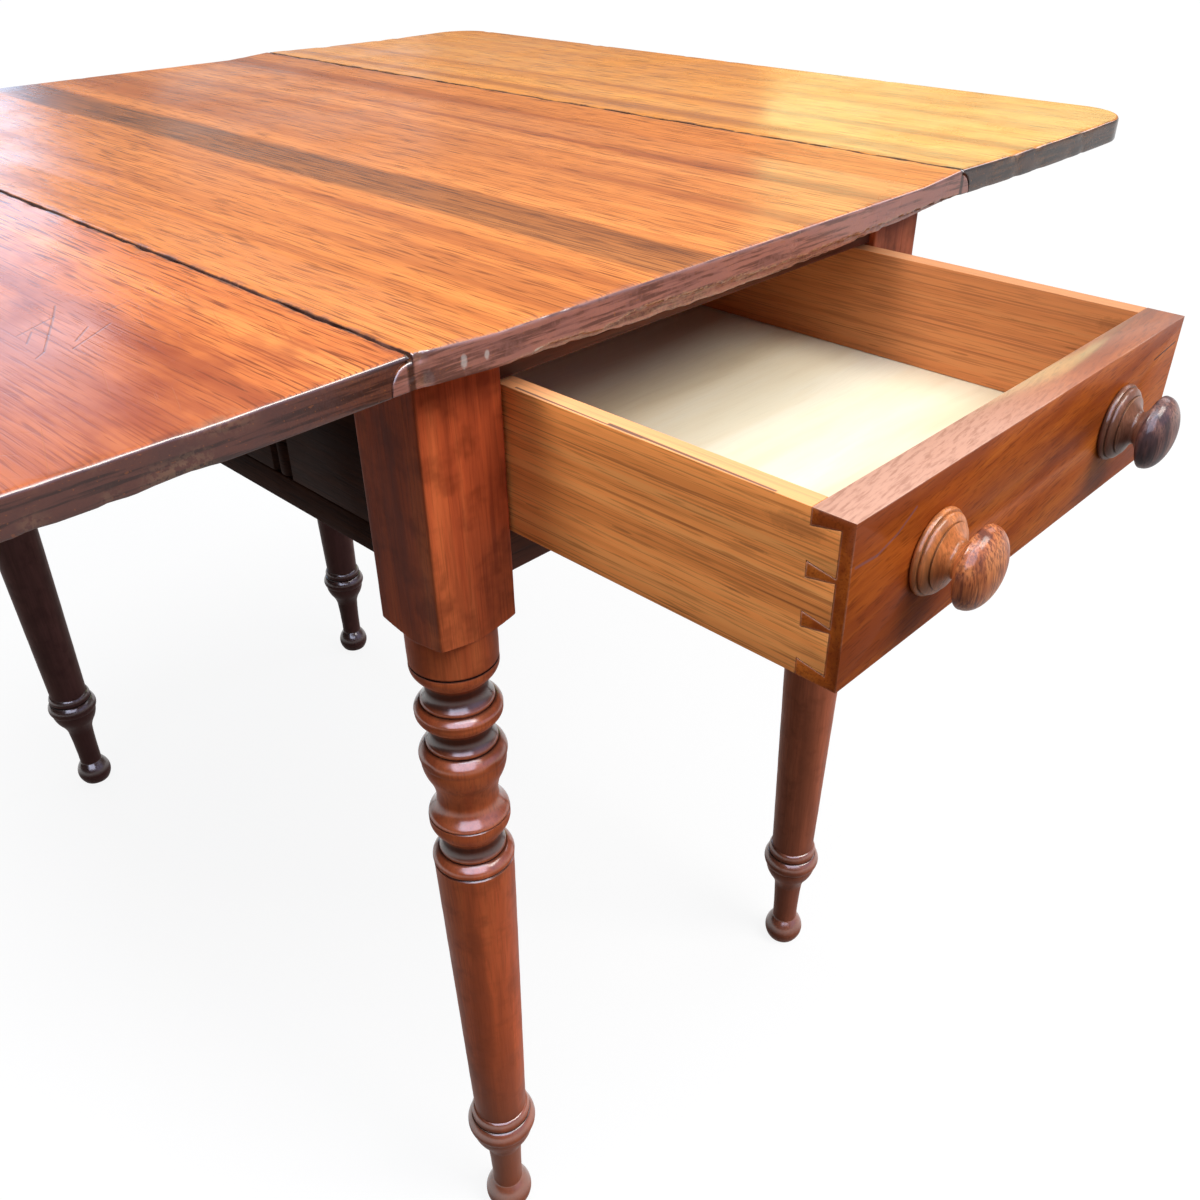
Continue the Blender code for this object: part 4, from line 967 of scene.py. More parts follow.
def skins_mesh(name, x, y, upper, lower, rim, rows, mark=None, side=1, pale=None):
    """Two skins over one grid of points, joined round the edge by rows of faces."""
    grid = np.arange(x.size).reshape(x.shape)
    loop = np.concatenate([grid[0], grid[1:, -1], grid[-1, -2::-1], grid[-2:0:-1, 0]])
    top = np.stack([x, y, upper], -1).reshape(-1, 3)
    bottom = np.stack([x, y, lower], -1).reshape(-1, 3)
    share = np.linspace(0, 1, rows + 1)[1:-1]
    edge = np.concatenate([top[loop] * (1 - s) + bottom[loop] * s for s in share])
    points = np.concatenate([top, bottom, edge])
    reach = np.concatenate([rim.ravel(), rim.ravel(), np.zeros(len(edge))])
    bare = np.zeros(len(points))
    if mark:
        struck = mark(points.copy())
        bare = np.clip(np.linalg.norm(struck * (side, 1, 1) - points, axis=1) / BARE_DEPTH, 0, 1)
        if pale:
            bare = np.maximum(bare * .3, pale(points))
        points = struck
    a, b, c, d = grid[:-1, :-1], grid[:-1, 1:], grid[1:, 1:], grid[1:, :-1]
    quads = np.stack([a, b, c, d], -1).reshape(-1, 4)
    between = [2 * x.size + k * len(loop) + np.arange(len(loop)) for k in range(rows - 1)]
    rings = [loop, *between, loop + x.size]
    strips = [np.stack([r1, np.roll(r1, -1), np.roll(r0, -1), r0], -1) for r0, r1 in zip(rings, rings[1:])]
    faces = np.concatenate([quads, quads[:, ::-1] + x.size, *strips])
    p = points[faces]
    volume = np.einsum("ij,ij->i", p[:, 0], np.cross(p[:, 1], p[:, 2]) + np.cross(p[:, 2], p[:, 3])).sum()
    if volume < 0:
        faces = faces[:, ::-1]
    mesh = bpy.data.meshes.new(name)
    mesh.from_pydata(points.tolist(), [], faces.tolist())
    for label, values in (("rim", reach), ("bare", bare)):
        mesh.attributes.new(label, "FLOAT", "POINT").data.foreach_set("value", values.astype(np.float32))
    return mesh


print("a chip", round(BARE_DEPTH * 1000, 1), "mm deep shows bare wood")

# %% [markdown]
# A chip is a shallow scoop pressed into the points round a place on an arris. The places, sizes and depths
# come by chance from a fixed seed, so that a board is the same each time. A slow wave makes its face
# uneven, as a hand plane leaves it.

# %% Chips and wear
PLANED = 0.0003  # unevenness of a hand-planed face, in metres


def scoop(points, centre, radius, depth, inwards):
    """Presses a shallow chip into the points round a centre."""
    near = 1 - np.sum((points - centre) ** 2, axis=1) / radius ** 2
    inwards = np.array(inwards, float) / np.linalg.norm(inwards)
    return points + np.clip(near, 0, 1)[:, None] * depth * inwards


def chip_run(points, rng, count, start, end, sizes, depths, inwards):
    """Chips at random places along one arris."""
    for _ in range(count):
        centre = np.array(start) + (np.array(end) - np.array(start)) * rng.random()
        points = scoop(points, centre, rng.uniform(*sizes), rng.uniform(*depths), inwards)
    return points


def eased(distance, radius):
    """How far a rounded arris has dropped at this distance in from the edge."""
    inside = np.clip(radius - distance, 0, radius)
    return radius - np.sqrt(np.maximum(radius ** 2 - inside ** 2, 0))


def slow_wave(x, y, seed):
    """The slow rise and fall of a hand-planed face."""
    rng = np.random.default_rng(seed)
    total = np.zeros_like(x)
    for _ in range(9):
        kx, ky = rng.uniform(8, 55), rng.uniform(3, 22)
        total += np.sin(kx * x + ky * y + rng.uniform(0, 6.28)) / (6 + kx * 0.3)
    return total * PLANED


print("planed faces rise and fall by about", round(PLANED * 1000, 1), "mm")

# %% [markdown]
# The front end of the fixed top has had a hard life: its lower arris is broken away in splinters. Such a
# break could be sculpted. Here a line along the edge, with a ragged shake, says how high the break reaches,
# and what lies below it stands back a little, with a fresh pale streak along the line.

# %% Split front edge
SPLIT_DEPTH = 0.0028  # how far the split part of the front edge stands back
# the height of the split, as a share of the edge's, at places along the edge
SPLIT_X = (-.231, -.175, -.160, -.1376, -.109, -.0795, -.039, -.0065, .0275, .09, .15, .20, .231)
SPLIT_SHARE = (0, 0, .10, .28, .22, .50, .45, .42, .36, .33, .28, .18, 0)


def split_line(points):
    """How far each point is above the split, and the split's height, as shares of the edge's."""
    x = points[:, 0]
    ragged = np.random.default_rng(31).uniform(-.05, .05, 200)
    line = np.interp(x, SPLIT_X, SPLIT_SHARE)
    line = line + np.interp(x, np.linspace(-.231, .231, 200), ragged) * np.minimum(line * 5, 1)
    foot = UNDER - TOP_SAG * (1 - np.minimum(np.abs(x) / PIN_X, 1) ** 2)
    return (points[:, 2] - foot) / BOARD - line, line


def pale_split(points):
    """The fresh pale wood along the split."""
    above, line = split_line(points)
    at_front = np.clip(1 - (points[:, 1] - top_low.y) / .002, 0, 1)
    return np.exp(-(above / .055) ** 2) * np.clip(line * 6, 0, 1) * at_front


print("split edge: up to", round(max(SPLIT_SHARE) * BOARD * 1000, 1), "mm high")

# %% [markdown]
# The fixed top sags across its width, drops by a small step at each joint line and ends in a quarter
# round, over which the leaf turns. Chips lie along its arrises, and the corner beside the near joint is
# knocked off.

# %% Fixed top
TOP_ARRIS, FOOT_ARRIS = 0.722, 0.704  # heights of the front edge's two arrises, at the joints
JOINT_ARRIS = 0.7215  # height of the arrises along a joint
KNUCKLE_ROOM = 0.0041  # radius of the hollow for a hinge's knuckle


def fixed_top_mesh():
    quarter = np.radians(np.linspace(86, 0, 12))
    half = np.concatenate([
        np.arange(0, PIN_X - .006, .0018),
        PIN_X - np.array([.0055, .004, .003, .0022, .0016, .0011, .0007, .0003]), [PIN_X, PIN_X + .0003],
        PIN_X + ROUND * np.cos(quarter[1:]), PIN_X - np.array([.0042, .0035]),
        HINGES[0][0].x + np.array([-.0005, -.0003]),
    ])
    line = np.unique(np.concatenate([half, -half]).round(6))
    stations = ends_and_middle(top_low.y, top_high.y, .008, POCKET_EDGES)
    x, y = np.meshgrid(line, stations)
    out = np.abs(x)
    sag = TOP_SAG * (1 - np.minimum(out / PIN_X, 1) ** 2)
    end = np.minimum(y - top_low.y, top_high.y - y)
    rng = np.random.default_rng(11)
    worn = np.interp(y, np.linspace(top_low.y, top_high.y, 60), rng.uniform(.0010, .0026, 60))
    face = top_high.z - sag - eased(PIN_X - out, worn) + slow_wave(x, y, 5) * (out < PIN_X)
    quarter_round = PIN_Z + np.sqrt(np.maximum(ROUND ** 2 - np.maximum(out - PIN_X, 0) ** 2, 0))
    upper = np.where(out < PIN_X - 1e-6, np.maximum(face, PIN_Z + ROUND), quarter_round)
    lower = UNDER - sag
    knuckle = PIN_Z + np.sqrt(np.maximum(KNUCKLE_ROOM ** 2 - (out - PIN_X) ** 2, 0))
    roof = np.maximum(POCKET_ROOF + POCKET_EASE, knuckle)
    cut = in_pocket(y) & (out > HINGES[0][0].x - .0004)
    lower = np.where(cut, roof, lower)
    upper = np.maximum(upper - eased(end, .0018), lower + .0002)
    lower = np.minimum(lower + eased(end, .0008), upper - .0001)
    rim = np.minimum(np.abs(PIN_X - out), end)

    def knocks(points):
        front, back = top_low.y, top_high.y
        above, line = split_line(points)
        back_step = np.clip(-above / .07, 0, 1) * np.minimum(line * 6, 1) * SPLIT_DEPTH
        points[:, 1] += back_step * np.clip(1 - (points[:, 1] - front) / .016, 0, 1)
        for level, count, into, depths in (
            (TOP_ARRIS, 6, -1, (.0001, .0005)), (FOOT_ARRIS, 60, 1.2, (.0003, .0012)),
        ):
            height = level - TOP_SAG * .7
            points = chip_run(points, rng, count, (-.16, front, height), (.218, front, height),
                              (.003, .007), depths, (0, 1, into))
            points = chip_run(points, rng, 8, (-.2, back, height), (.2, back, height),
                              (.003, .007), depths, (0, -1, into))
        for side in (-1, 1):
            joint = side * PIN_X
            points = chip_run(points, rng, 34, (joint, front, JOINT_ARRIS), (joint, back, JOINT_ARRIS),
                              (.004, .010), (.0002, .0005), (-side, 0, -1))
        for _ in range(12):
            inside, behind, height = rng.uniform(-.004, .005), rng.uniform(0, .004), rng.uniform(.706, .721)
            size, depth = rng.uniform(.003, .006), rng.uniform(.0004, .0012)
            points = scoop(points, (inside - PIN_X, front + behind, height), size, depth, (1, .9, -.3))
        return points

    return skins_mesh("fixed_top", x, y, upper, lower, rim, 16, knocks, pale=pale_split)


top_piece = as_piece("top_board", fixed_top_mesh(), top_finish, "fixed_top", slot="polished_mahogany_top")
print("top board:", len(top_piece.data.polygons), "faces")

# %% [markdown]
# A leaf is hollowed along its inner edge to ride over the quarter round, and its two outer corners are
# rounded in plan. The grid is squeezed in y near the outer edge so that its last rows follow the rounded
# corner. Whatever the wear, the inner lip keeps clear of the quarter round, so that the leaf can drop.

# %% Leaves
CORNER = 0.042  # radius of a leaf's outer corner
LIP = 0.0008  # least thickness of the leaf's inner lip
CLEARANCE = 0.0004  # what a worn lip leaves between leaf and quarter round
LEAF_ARRISES = ((JOINT_ARRIS, -1), (0.7065, 1))  # height, and the way into the wood


def leaf_mesh(name, side, seed):
    inner, outer = leaf_low.x, leaf_high.x
    middle, half = (leaf_low.y + leaf_high.y) / 2, (leaf_high.y - leaf_low.y) / 2
    turn = np.radians(np.linspace(0, 90, 22))
    hollow = PIN_X + HOLLOW * np.cos(np.radians(np.linspace(84, 0, 12)))
    plate_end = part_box("hinge_leaf_plate_right_front")[1].x
    line = np.unique(np.concatenate([
        inner + np.array([0, .0004, .0009, .0016, .0026, .004]), hollow, hollow[-1:] + .0002,
        np.arange(inner + .015, outer - CORNER, .0035), outer - CORNER + CORNER * np.sin(turn),
        outer - np.array([.0003, .0008, .0014, .0022, .0032]), [plate_end + .0003, plate_end + .0005],
    ]).round(6))
    stations = ends_and_middle(-half, half, .005, [y - middle for y in POCKET_EDGES])
    x, v = np.meshgrid(line, stations)
    past = np.clip(x - (outer - CORNER), 0, CORNER)
    reach = half - CORNER + np.sqrt(np.maximum(CORNER ** 2 - past ** 2, 0))
    blend = np.clip((np.abs(v) - .3 * half) / (.7 * half), 0, 1)
    y = middle + v * (1 - blend + blend * reach / half)
    off = np.abs(y - middle)
    corner = np.hypot(past, np.maximum(off - (half - CORNER), 0))
    in_corner = (past > 0) & (off > half - CORNER)
    end = np.where(in_corner, CORNER - corner, np.minimum(half - off, outer - x))
    end = np.maximum(end, 0)
    rng = np.random.default_rng(seed)
    across = (x - PIN_X) / (outer - PIN_X) * 2 - 1
    sag = LEAF_SAG * (1 - across ** 2)
    worn = np.interp(y, np.linspace(leaf_low.y, leaf_high.y, 60), rng.uniform(.0010, .0028, 60))
    upper = leaf_high.z - sag - eased(x - inner, worn) * .8 + slow_wave(x, y, seed) - eased(end, .0020)
    arc = PIN_Z + np.sqrt(np.maximum(HOLLOW ** 2 - (x - PIN_X) ** 2, 0))
    upper = np.maximum(upper, np.where(x < PIN_X + HOLLOW, arc + LIP, UNDER))
    lower = np.where(x < PIN_X + HOLLOW + 1e-6, arc, UNDER - sag)
    cut = in_pocket(y) & (x < plate_end + .0004)
    lower = np.where(cut, np.maximum(lower, POCKET_ROOF + POCKET_EASE), lower)
    lower = np.minimum(lower + eased(end, .0010), upper - .0004)
    rim = np.minimum(end, x - inner)

    def knocks(points):
        front, back = leaf_low.y, leaf_high.y
        for level, into in LEAF_ARRISES:
            for count, y, way in ((7, front, 1), (6, back, -1)):
                points = chip_run(points, rng, count, (inner, y, level), (outer - CORNER, y, level),
                                  (.004, .010), (.0002, .0007), (0, way, into))
            points = chip_run(points, rng, 8, (outer, front + CORNER, level), (outer, back - CORNER, level),
                              (.004, .011), (.0002, .0007), (-1, 0, into))
        points = chip_run(points, rng, 34, (inner, front, JOINT_ARRIS), (inner, back, JOINT_ARRIS),
                          (.004, .010), (.0002, .0006), (1, 0, -1))
        away = points[:, [0, 2]] - (PIN_X, PIN_Z)
        reach = np.maximum(np.linalg.norm(away, axis=1), 1e-6)
        least = np.where(away[:, 1] > 0, ROUND + CLEARANCE, 0)
        points[:, [0, 2]] = (PIN_X, PIN_Z) + away * np.maximum(least / reach, 1)[:, None]
        return points * np.array((side, 1, 1))

    return skins_mesh(name, x, y, upper, lower, rim, 6, knocks, side)


for node, side, seed, finish in (
    ("left_leaf", -1, 21, near_leaf_finish), ("right_leaf", 1, 22, far_leaf_finish),
):
    mesh = leaf_mesh(node, side, seed)
    piece = as_piece(f"{node}_board", mesh, finish, node, slot="polished_mahogany_top")
    print(piece.name, len(piece.data.polygons), "faces")

# %% [markdown]
# ## Turned pieces by Geometry Nodes
# A geometry tree is a recipe that a modifier runs on a mesh. Each tree here has named inputs, and ends by
# making its copies real and setting the finish. The result is kept as a plain mesh without the modifier,
# because only plain meshes can be handed on.

# %% Geometry tree helpers
def new_geometry_tree(name, inputs):
    """An empty geometry tree. Inputs are name: (kind of socket, default)."""
    tree = bpy.data.node_groups.new(name, "GeometryNodeTree")
    for label, (kind, default) in inputs.items():
        socket = tree.interface.new_socket(name=label, in_out="INPUT", socket_type=f"NodeSocket{kind}")
        if default is not None:
            socket.default_value = default
    tree.interface.new_socket(name="Geometry", in_out="OUTPUT", socket_type="NodeSocketGeometry")
    return tree, tree.nodes.new("NodeGroupInput").outputs, tree.nodes.new("NodeGroupOutput").inputs


def input_sockets(tree):
    return {s.name: s.identifier for s in tree.interface.items_tree if s.in_out == "INPUT"}


def end_tree(tree, geometry, material, leave):
    """Makes the copies real and sets the finish."""
    plain = add_node(tree, "GeometryNodeRealizeInstances", {"Geometry": geometry}).outputs[0]
    ended = add_node(tree, "GeometryNodeSetMaterial", {"Geometry": plain, "Material": material})
    tree.links.new(ended.outputs[0], leave["Geometry"])
    print("tree", tree.name, "with inputs", list(input_sockets(tree)))


def facing_out(mesh):
    """Closes a mesh and turns its faces outwards."""
    shape = bmesh.new()
    shape.from_mesh(mesh)
    bmesh.ops.remove_doubles(shape, verts=shape.verts, dist=1e-6)
    bmesh.ops.dissolve_degenerate(shape, edges=shape.edges, dist=1e-7)
    bmesh.ops.recalc_face_normals(shape, faces=shape.faces)
    if shape.calc_volume(signed=True) < 0:
        bmesh.ops.reverse_faces(shape, faces=shape.faces)
    shape.to_mesh(mesh)
    shape.free()


def grown(name, start, tree, values):
    """Runs a tree on a start mesh with these inputs and returns the result as a plain mesh."""
    holder = placed(name, start)
    modifier = holder.modifiers.new("tree", "NODES")
    modifier.node_group = tree
    sockets = input_sockets(tree)
    for label, value in values.items():
        modifier[sockets[label]] = value
    graph = bpy.context.evaluated_depsgraph_get()
    mesh = bpy.data.meshes.new_from_object(holder.evaluated_get(graph), depsgraph=graph)
    holder.modifiers.remove(modifier)
    bpy.data.objects.remove(holder)
    facing_out(mesh)
    return mesh


print("made helpers for trees: new_geometry_tree, input_sockets, end_tree, facing_out, grown")

# %% [markdown]
# A turned leg follows a rule: at each height and angle the wood ends at the turner's outline or at the
# square stock, whichever is nearer the middle. Geometry Nodes can say just that. The outline comes in as a
# line of points, a grid gets one column for each angle, and every grid point is moved to its place. Angles
# crowd towards the square's corners, where the arris needs them. The knobs use the same tree without the
# square.

# %% Turning tree
def turning_tree():
    tree, given, leave = new_geometry_tree("turned_wood", {
        "Outline": ("Geometry", None), "Half Square": ("Float", 0.025), "Arris": ("Float", 40.0),
        "Crowding": ("Float", 0.0), "Wear": ("Float", 0.0004), "Angles": ("Int", 96),
        "Finish": ("Material", None),
    })
    rings = add_node(
        tree, "GeometryNodeAttributeDomainSize", {"Geometry": given["Outline"]}, component="MESH"
    ).outputs["Point Count"]
    counts = {"Vertices X": maths(tree, "ADD", given["Angles"], 1), "Vertices Y": rings}
    grid = add_node(tree, "GeometryNodeMeshGrid", counts).outputs["Mesh"]
    index = add_node(tree, "GeometryNodeInputIndex").outputs[0]
    row = maths(tree, "FLOORED_MODULO", index, rings)
    column = maths(tree, "FLOOR", maths(tree, "DIVIDE", maths(tree, "ADD", index, 0.5), rings))
    place = add_node(tree, "GeometryNodeInputPosition").outputs[0]
    asked = {"Geometry": given["Outline"], "Value": place, "Index": row}
    point = add_node(tree, "GeometryNodeSampleIndex", asked, data_type="FLOAT_VECTOR").outputs["Value"]
    reach, height = axis(tree, point, "X"), axis(tree, point, "Z")
    even = times(tree, maths(tree, "DIVIDE", column, given["Angles"]), math.tau)
    bunch = maths(tree, "SINE", times(tree, even, 4.0))
    angle = maths(tree, "ADD", even, times(tree, bunch, given["Crowding"]))
    cosine, sine = maths(tree, "COSINE", angle), maths(tree, "SINE", angle)
    powers = [
        maths(tree, "POWER", maths(tree, "ABSOLUTE", way), given["Arris"]) for way in (cosine, sine)
    ]
    root = maths(tree, "POWER", maths(tree, "ADD", *powers), one_over(tree, given["Arris"]))
    square = maths(tree, "DIVIDE", given["Half Square"], root)
    radius = maths(tree, "MINIMUM", reach, square)

    def on_ring(radius):
        parts = {0: times(tree, cosine, radius), 1: times(tree, sine, radius), 2: height}
        return add_node(tree, "ShaderNodeCombineXYZ", parts).outputs[0]

    dents = noise(tree, on_ring(radius), 70.0, 3.0)
    shift = times(tree, maths(tree, "SUBTRACT", dents, 0.5), given["Wear"])
    solid = maths(tree, "MINIMUM", times(tree, radius, 200.0), 1.0)  # the ends' middles stay put
    final = on_ring(maths(tree, "ADD", radius, times(tree, shift, solid)))
    moved = add_node(tree, "GeometryNodeSetPosition", {"Geometry": grid, "Position": final}).outputs[0]
    closed = add_node(tree, "GeometryNodeMergeByDistance", {"Geometry": moved, "Distance": 2e-6}).outputs[0]
    end_tree(tree, closed, given["Finish"], leave)
    return tree


def line_mesh(name, outline):
    """The turner's outline, as (radius, height) points."""
    mesh = bpy.data.meshes.new(name)
    mesh.from_pydata([(r, 0, h) for r, h in outline], [(k, k + 1) for k in range(len(outline) - 1)], [])
    return mesh


def bowed(points, step):
    """Straight or bowed stretches between (height, radius, bow) points, drawn finely."""
    drawn = []
    for (h0, r0, bow), (h1, r1, _) in zip(points, points[1:]):
        count = max(1, round(math.hypot(h1 - h0, r1 - r0) / step)) if bow or abs(h1 - h0) > step else 2
        for k in range(count):
            t = k / count
            drawn.append((r0 + (r1 - r0) * t + bow * 4 * t * (1 - t), h0 + (h1 - h0) * t))
    drawn.append((points[-1][1], points[-1][0]))
    return drawn


turned_wood = turning_tree()

# %% [markdown]
# The leg's outline, from the floor up: a foot, a short flare to the ankle rings, a long taper, more rings,
# a ball between coves, and the shoulder where the turning runs out into the square block. The numbers are
# heights, radii, and how far each stretch bows out between its point and the next. The finish needs to know
# the coves and grooves, where dirt stays and shade is painted in, so their depth is noted on each point.

# %% Legs
LEG_HALF = 0.025
BLOCK_END = 0.557
OUTLINE = (
    (0, .0140, .0046), (.0255, .0120, 0), (.0265, .0113, -.0004), (.0720, .0128, -.0008),
    (.0860, .0185, .0010), (.1005, .0228, 0), (.1010, .0236, 0), (.1014, .0238, .0022),
    (.1145, .0215, 0), (.1148, .0203, 0), (.1154, .0203, 0), (.1157, .0210, .0010), (.1235, .0196, 0),
    (.1240, .0188, 0), (.3800, .0245, 0), (.3804, .0246, 0), (.3810, .0237, 0), (.3822, .0237, 0),
    (.3828, .0247, .0016), (.3905, .0208, 0), (.3908, .0195, 0), (.3914, .0195, 0), (.3917, .0202, 0),
    (.3930, .0201, -.0010), (.4030, .0184, 0), (.4045, .0186, .0018), (.4165, .0241, 0),
    (.4186, .0242, 0), (.4190, .0236, 0), (.4195, .0236, 0), (.4199, .0240, .0003),
    (.4228, .0227, -.0014), (.4340, .0181, -.0006), (.4480, .0212, .0010), (.4620, .0247, .0022),
    (.4725, .0212, 0), (.4728, .0199, 0), (.4735, .0199, 0), (.4738, .0207, 0), (.4752, .0206, -.0014),
    (.4860, .0180, 0), (.4875, .0181, .0022), (.4965, .0247, .0014), (.5022, .0215, 0),
    (.5025, .0202, 0), (.5031, .0202, 0), (.5034, .0208, 0), (.5046, .0207, -.0016), (.5165, .0176, 0),
    (.5178, .0177, .0024), (.5300, .0247, 0), (.5303, .0238, 0), (.5311, .0238, 0), (.5314, .0248, 0),
    (.5525, .0248, 0), (.5538, .0262, 0),
)
LEG_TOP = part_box("leg_front_left")[1].z
LEG_FINISH = {"leg_front_left": near_leg_finish, "leg_front_right": right_leg_finish,
              "leg_back_left": shaded_leg_finish, "leg_back_right": shaded_leg_finish}
COVES = ((.3912, .4050), (.4742, .4885), (.5036, .5190))  # from and to which height
GROOVES = (
    (.1140, .1160), (.3804, .3828), (.3902, .3919), (.4186, .4200), (.4722, .4740), (.5019, .5037),
    (.5296, .5318),
)
COVE_EDGE, GROOVE_EDGE = 0.0035, 0.0006  # over which the dirt and painted shade fade out


def mark_coves(mesh):
    """Notes how deep in a cove or groove each point lies, for the finish to darken: dirt and painted shade.
    """
    heights = np.array([v.co.z for v in mesh.vertices])
    inside = [
        np.minimum(heights - low, high - heights) / edge
        for hollows, edge in ((COVES, COVE_EDGE), (GROOVES, GROOVE_EDGE)) for low, high in hollows
    ]
    depth = np.clip(np.max(inside, axis=0), 0, 1).astype(np.float32)
    mesh.attributes.new("cove", "FLOAT", "POINT").data.foreach_set("value", depth)


corner_end = (BLOCK_END, LEG_HALF * math.sqrt(2), 0)
leg_outline = [(0.0, 0.0)] + bowed((*OUTLINE, corner_end), 0.0008)
leg_outline += [(LEG_HALF * 1.5, h) for h in np.linspace(BLOCK_END + .002, LEG_TOP - .0012, 24)]
leg_outline += [(LEG_HALF * 1.4 - .0004, LEG_TOP - .0005), (LEG_HALF * 1.37, LEG_TOP), (0.0, LEG_TOP)]

for node, finish in LEG_FINISH.items():
    low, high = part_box(node)
    values = {"Half Square": LEG_HALF, "Arris": 46.0, "Crowding": 0.2, "Angles": 112, "Finish": finish,
              "Wear": 0.0004}
    mesh = grown(node, line_mesh(node, leg_outline), turned_wood, values)
    centre = (low + high) / 2
    mesh.transform(Matrix.Translation((centre.x, centre.y, 0)))
    mark_coves(mesh)
    as_piece(f"turned_{node}", mesh, finish, node, slot="turned_mahogany", sharp=50)
print("legs:", len(leg_outline), "rings each,", len(mesh.polygons), "faces each")

# %% [markdown]
# The knobs are mushroom turnings with a stepped base. They use the same tree, with a square too large to
# matter, and are then tipped over to face the front of the drawer.

# %% Knobs
knob_low, knob_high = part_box("drawer_knob_left")
KNOB_REACH, KNOB_BASE, KNOB_NECK, KNOB_HEAD, KNOB_SPIGOT = 0.030, 0.0200, 0.0085, 0.0188, 0.0060
KNOB_RIM = KNOB_REACH * 0.68
spigot = knob_high.y - knob_low.y - KNOB_REACH
# height above the drawer front, how far inside the base's edge, and bow
KNOB_STEPS = (
    (.0003, .0006, 0), (.0008, 0, .0003), (.0030, .0006, 0), (.0032, .0018, 0), (.0037, .0018, 0),
    (.0039, .0014, .0008), (.0066, .0044, 0), (.0067, .0054, 0), (.0072, .0054, 0), (.0074, .0048, -.0022),
)
knob_points = [
    (-spigot, KNOB_SPIGOT, 0), (.0003, KNOB_SPIGOT, 0),
    *((out, KNOB_BASE - inside, bow) for out, inside, bow in KNOB_STEPS),
    (KNOB_REACH * .43, KNOB_NECK, -.0010), (KNOB_RIM - .0025, KNOB_HEAD - .0020, .0008),
    (KNOB_RIM, KNOB_HEAD, 0),
]
knob_outline = [(0.0, -spigot)] + bowed(knob_points, 0.0005)
knob_outline += [
    (KNOB_HEAD * math.cos(a), KNOB_RIM + (KNOB_REACH - KNOB_RIM) * math.sin(a))
    for a in np.radians(np.linspace(5, 88, 22))
] + [(0.0, KNOB_REACH)]
for side in ("left", "right"):
    node = f"drawer_knob_{side}"
    low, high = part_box(node)
    values = {"Half Square": 1.0, "Arris": 2.0, "Angles": 96, "Wear": 0.00012, "Finish": KNOB_FINISH[side]}
    mesh = grown(node, line_mesh(node, knob_outline), turned_wood, values)
    centre = (low + high) / 2
    to_front = Matrix.Translation((centre.x, high.y - spigot, centre.z))
    mesh.transform(to_front @ Matrix.Rotation(math.pi / 2, 4, "X"))
    as_piece(f"turned_{node}", mesh, KNOB_FINISH[side], node, slot="turned_knob_wood", sharp=45)
print("knobs:", len(mesh.polygons), "faces each")

# %% [markdown]
# ## Frame and drawer
# These pieces are plain sawn boards, so their shape is right already. Each is copied from its solid,
# merged, and its edges are eased a little, as an old board's are.

# %% Frame and drawer pieces
PAIRED = ("side_rail", "side_strip", "fly_block", "fly_bracket", "drawer_runner", "drawer_kicker")
EASED = (
    (frame_finish, "frame_hardwood", .0008,
     (*(f"{kind}_{side}" for kind in PAIRED for side in ("left", "right")), "drawer_stop")),
    (end_rail_finish, "frame_hardwood", .0010, ("back_rail", "lower_drawer_rail", "upper_drawer_rail")),
    (drawer_side_finish, "drawer_side_wood", .0008,
     ("drawer_side_left", "drawer_side_right", "drawer_back")),
    (drawer_front_finish, "drawer_front_mahogany", .0016, ("drawer_front",)),
    (plywood_finish, "pale_plywood", .0006, ("drawer_bottom",)),
)
for finish, slot_name, width, nodes in EASED:
    for node in nodes:
        piece = as_piece(f"eased_{node}", softened(node, width), finish, node, slot=slot_name)
    print(slot_name, len(nodes), "pieces, last has", len(piece.data.polygons), "faces")

# %% [markdown]
# ## Screws and panel pins
# Sixteen screws hold the hinges, and five pins hold the drawer's bottom up to its back. One slotted head
# and one round head are modelled, and Geometry Nodes sets a copy on each point, turned by chance, since
# nobody lines up the slots. Each body gets one plain mesh of its fixings.

# %% Fixings tree
def fixings_tree():
    tree, given, leave = new_geometry_tree("fixings_on_points", {
        "Points": ("Geometry", None), "Head": ("Object", None), "Most Turn": ("Float", math.pi),
        "Seed": ("Int", 3), "Finish": ("Material", None),
    })
    head = add_node(tree, "GeometryNodeObjectInfo", {"Object": given["Head"]}).outputs["Geometry"]
    limits = {3: given["Most Turn"], 8: given["Seed"]}
    chance = add_node(tree, "FunctionNodeRandomValue", limits, data_type="FLOAT")
    turn = add_node(tree, "ShaderNodeCombineXYZ", {2: chance.outputs[1]}).outputs[0]
    copies = add_node(tree, "GeometryNodeInstanceOnPoints", {
        "Points": given["Points"], "Instance": head, "Rotation": turn}).outputs[0]
    end_tree(tree, copies, given["Finish"], leave)
    return tree


fixings = fixings_tree()

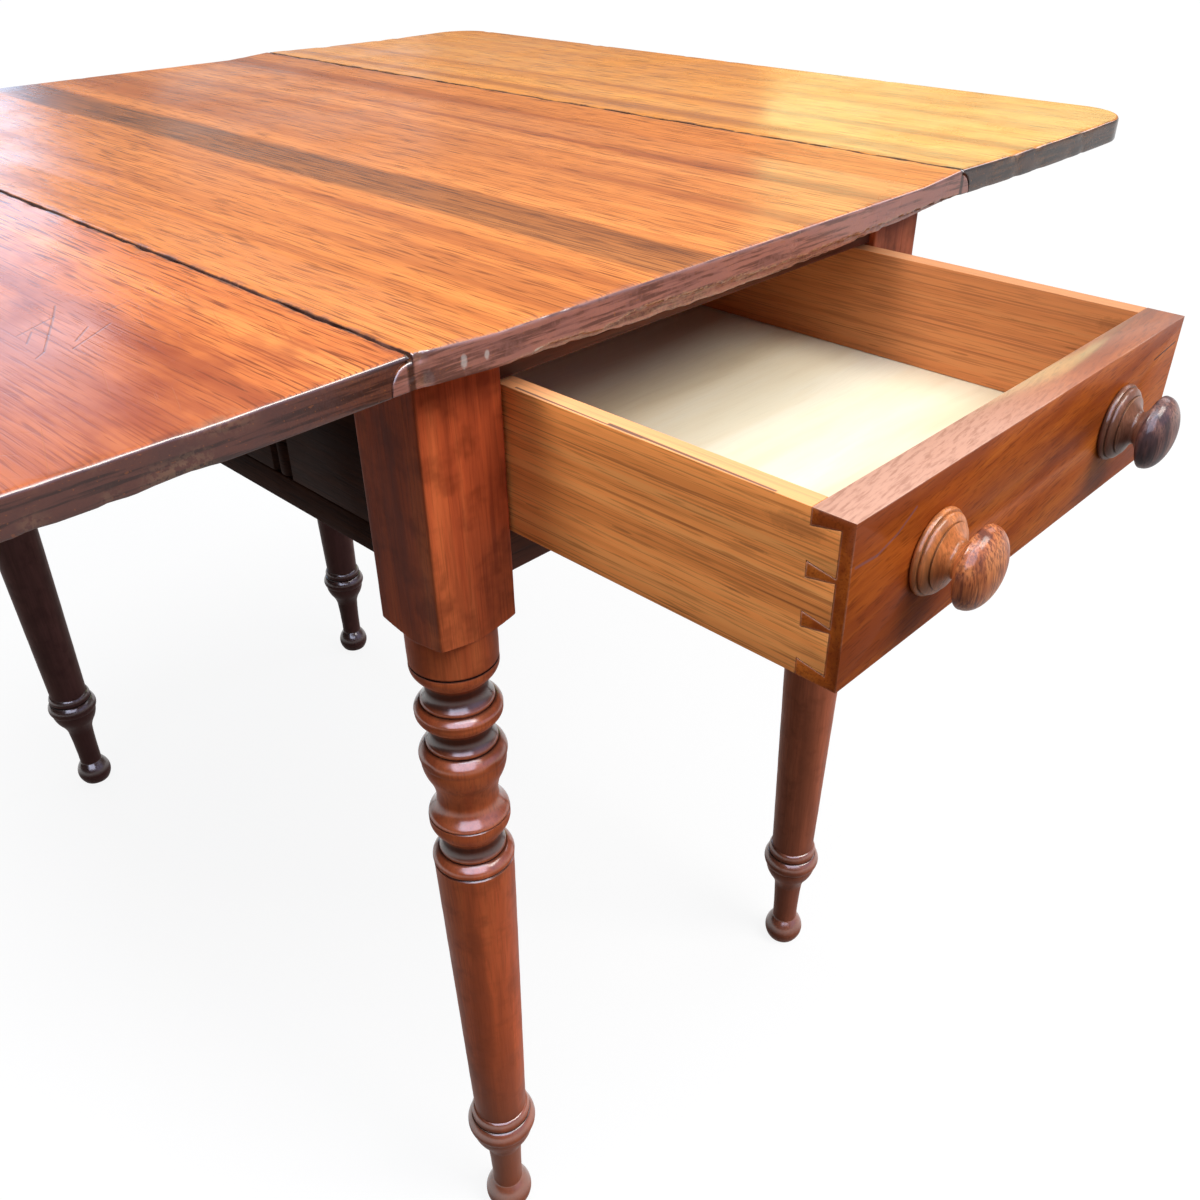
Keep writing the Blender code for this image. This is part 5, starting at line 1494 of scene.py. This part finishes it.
# %% Screws and panel pins
def head_object(name, radius, tall, dome, slot):
    """A screw or pin head, seen face down at z = 0; its hidden side tapers up into the wood."""
    half = radius * np.array([slot * .9, slot, .4, .65, .85, .95, .995])
    columns = np.unique(np.concatenate([-half, [0.0], half]).round(7))
    x, v = np.meshgrid(columns, np.sin(np.radians(np.linspace(-90, 90, 17))))
    y = v * np.sqrt(radius ** 2 - x ** 2)
    share = np.minimum(np.hypot(x, y) / radius, 1)
    face = -dome * (1 - share ** 2) + np.where(np.abs(x) < radius * slot * .95, .35 * tall, 0)
    return placed(name, skins_mesh(name, x, y, .0004 + tall * (1 - share ** 2), face, share, 2))


slotted = head_object("slotted_head", 0.0031, 0.0026, 0.0001, 0.14)
round_pin = head_object("round_head", 0.0018, 0.0012, 0.0004, 0.0001)
groups = {}
for node in frame["nodes"]:
    if node.startswith("hinge_screw"):
        groups.setdefault(BODY_OF[node], []).append(node)
for seed, (body, nodes) in enumerate(groups.items()):
    spots = bpy.data.meshes.new("screw_places")
    corners = [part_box(node) for node in nodes]
    spots.from_pydata([((a.x + b.x) / 2, (a.y + b.y) / 2, a.z) for a, b in corners], [], [])
    values = {"Head": slotted, "Most Turn": math.pi, "Seed": seed, "Finish": steel_finish}
    mesh = grown(f"hinge_screws_{body}", spots, fixings, values)
    as_piece(f"hinge_screws_{body}", mesh, steel_finish, *nodes, slot="dark_steel")
    print(body, len(nodes), "screws")

low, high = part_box("drawer_bottom")
back_low, back_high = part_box("drawer_back")
spots = bpy.data.meshes.new("pin_places")
spots.from_pydata([(x, (back_low.y + back_high.y) / 2, low.z) for x in np.linspace(-.125, .125, 5)], [], [])
values = {"Head": round_pin, "Most Turn": 3.0, "Seed": 9, "Finish": steel_finish}
mesh = grown("bottom_pins", spots, fixings, values)
pins = placed("bottom_pins", mesh)
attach(pins, BODY_OF["drawer_bottom"])
for head in (slotted, round_pin):
    bpy.data.objects.remove(head)
print("pins:", len(mesh.polygons), "faces")

# %% [markdown]
# ## Hinges
# The hinge plates and pins keep their solids and only change their finish: the shape is already right, and
# nothing of it shows except from below.

# %% Hinge finishes
METALS = (
    ("hinge_top_plate", brass_finish), ("hinge_leaf_plate", brass_finish),
    ("hinge_pin", steel_finish), ("fly_pin", steel_finish),
)
for node, solid in frame["nodes"].items():
    for kind, metal in METALS:
        if node.startswith(kind):
            solid.data.materials.clear()
            solid.data.materials.append(metal)
shown = [n for n, o in frame["nodes"].items() if not o.hide_render]
print("solids still shown:", len(shown))
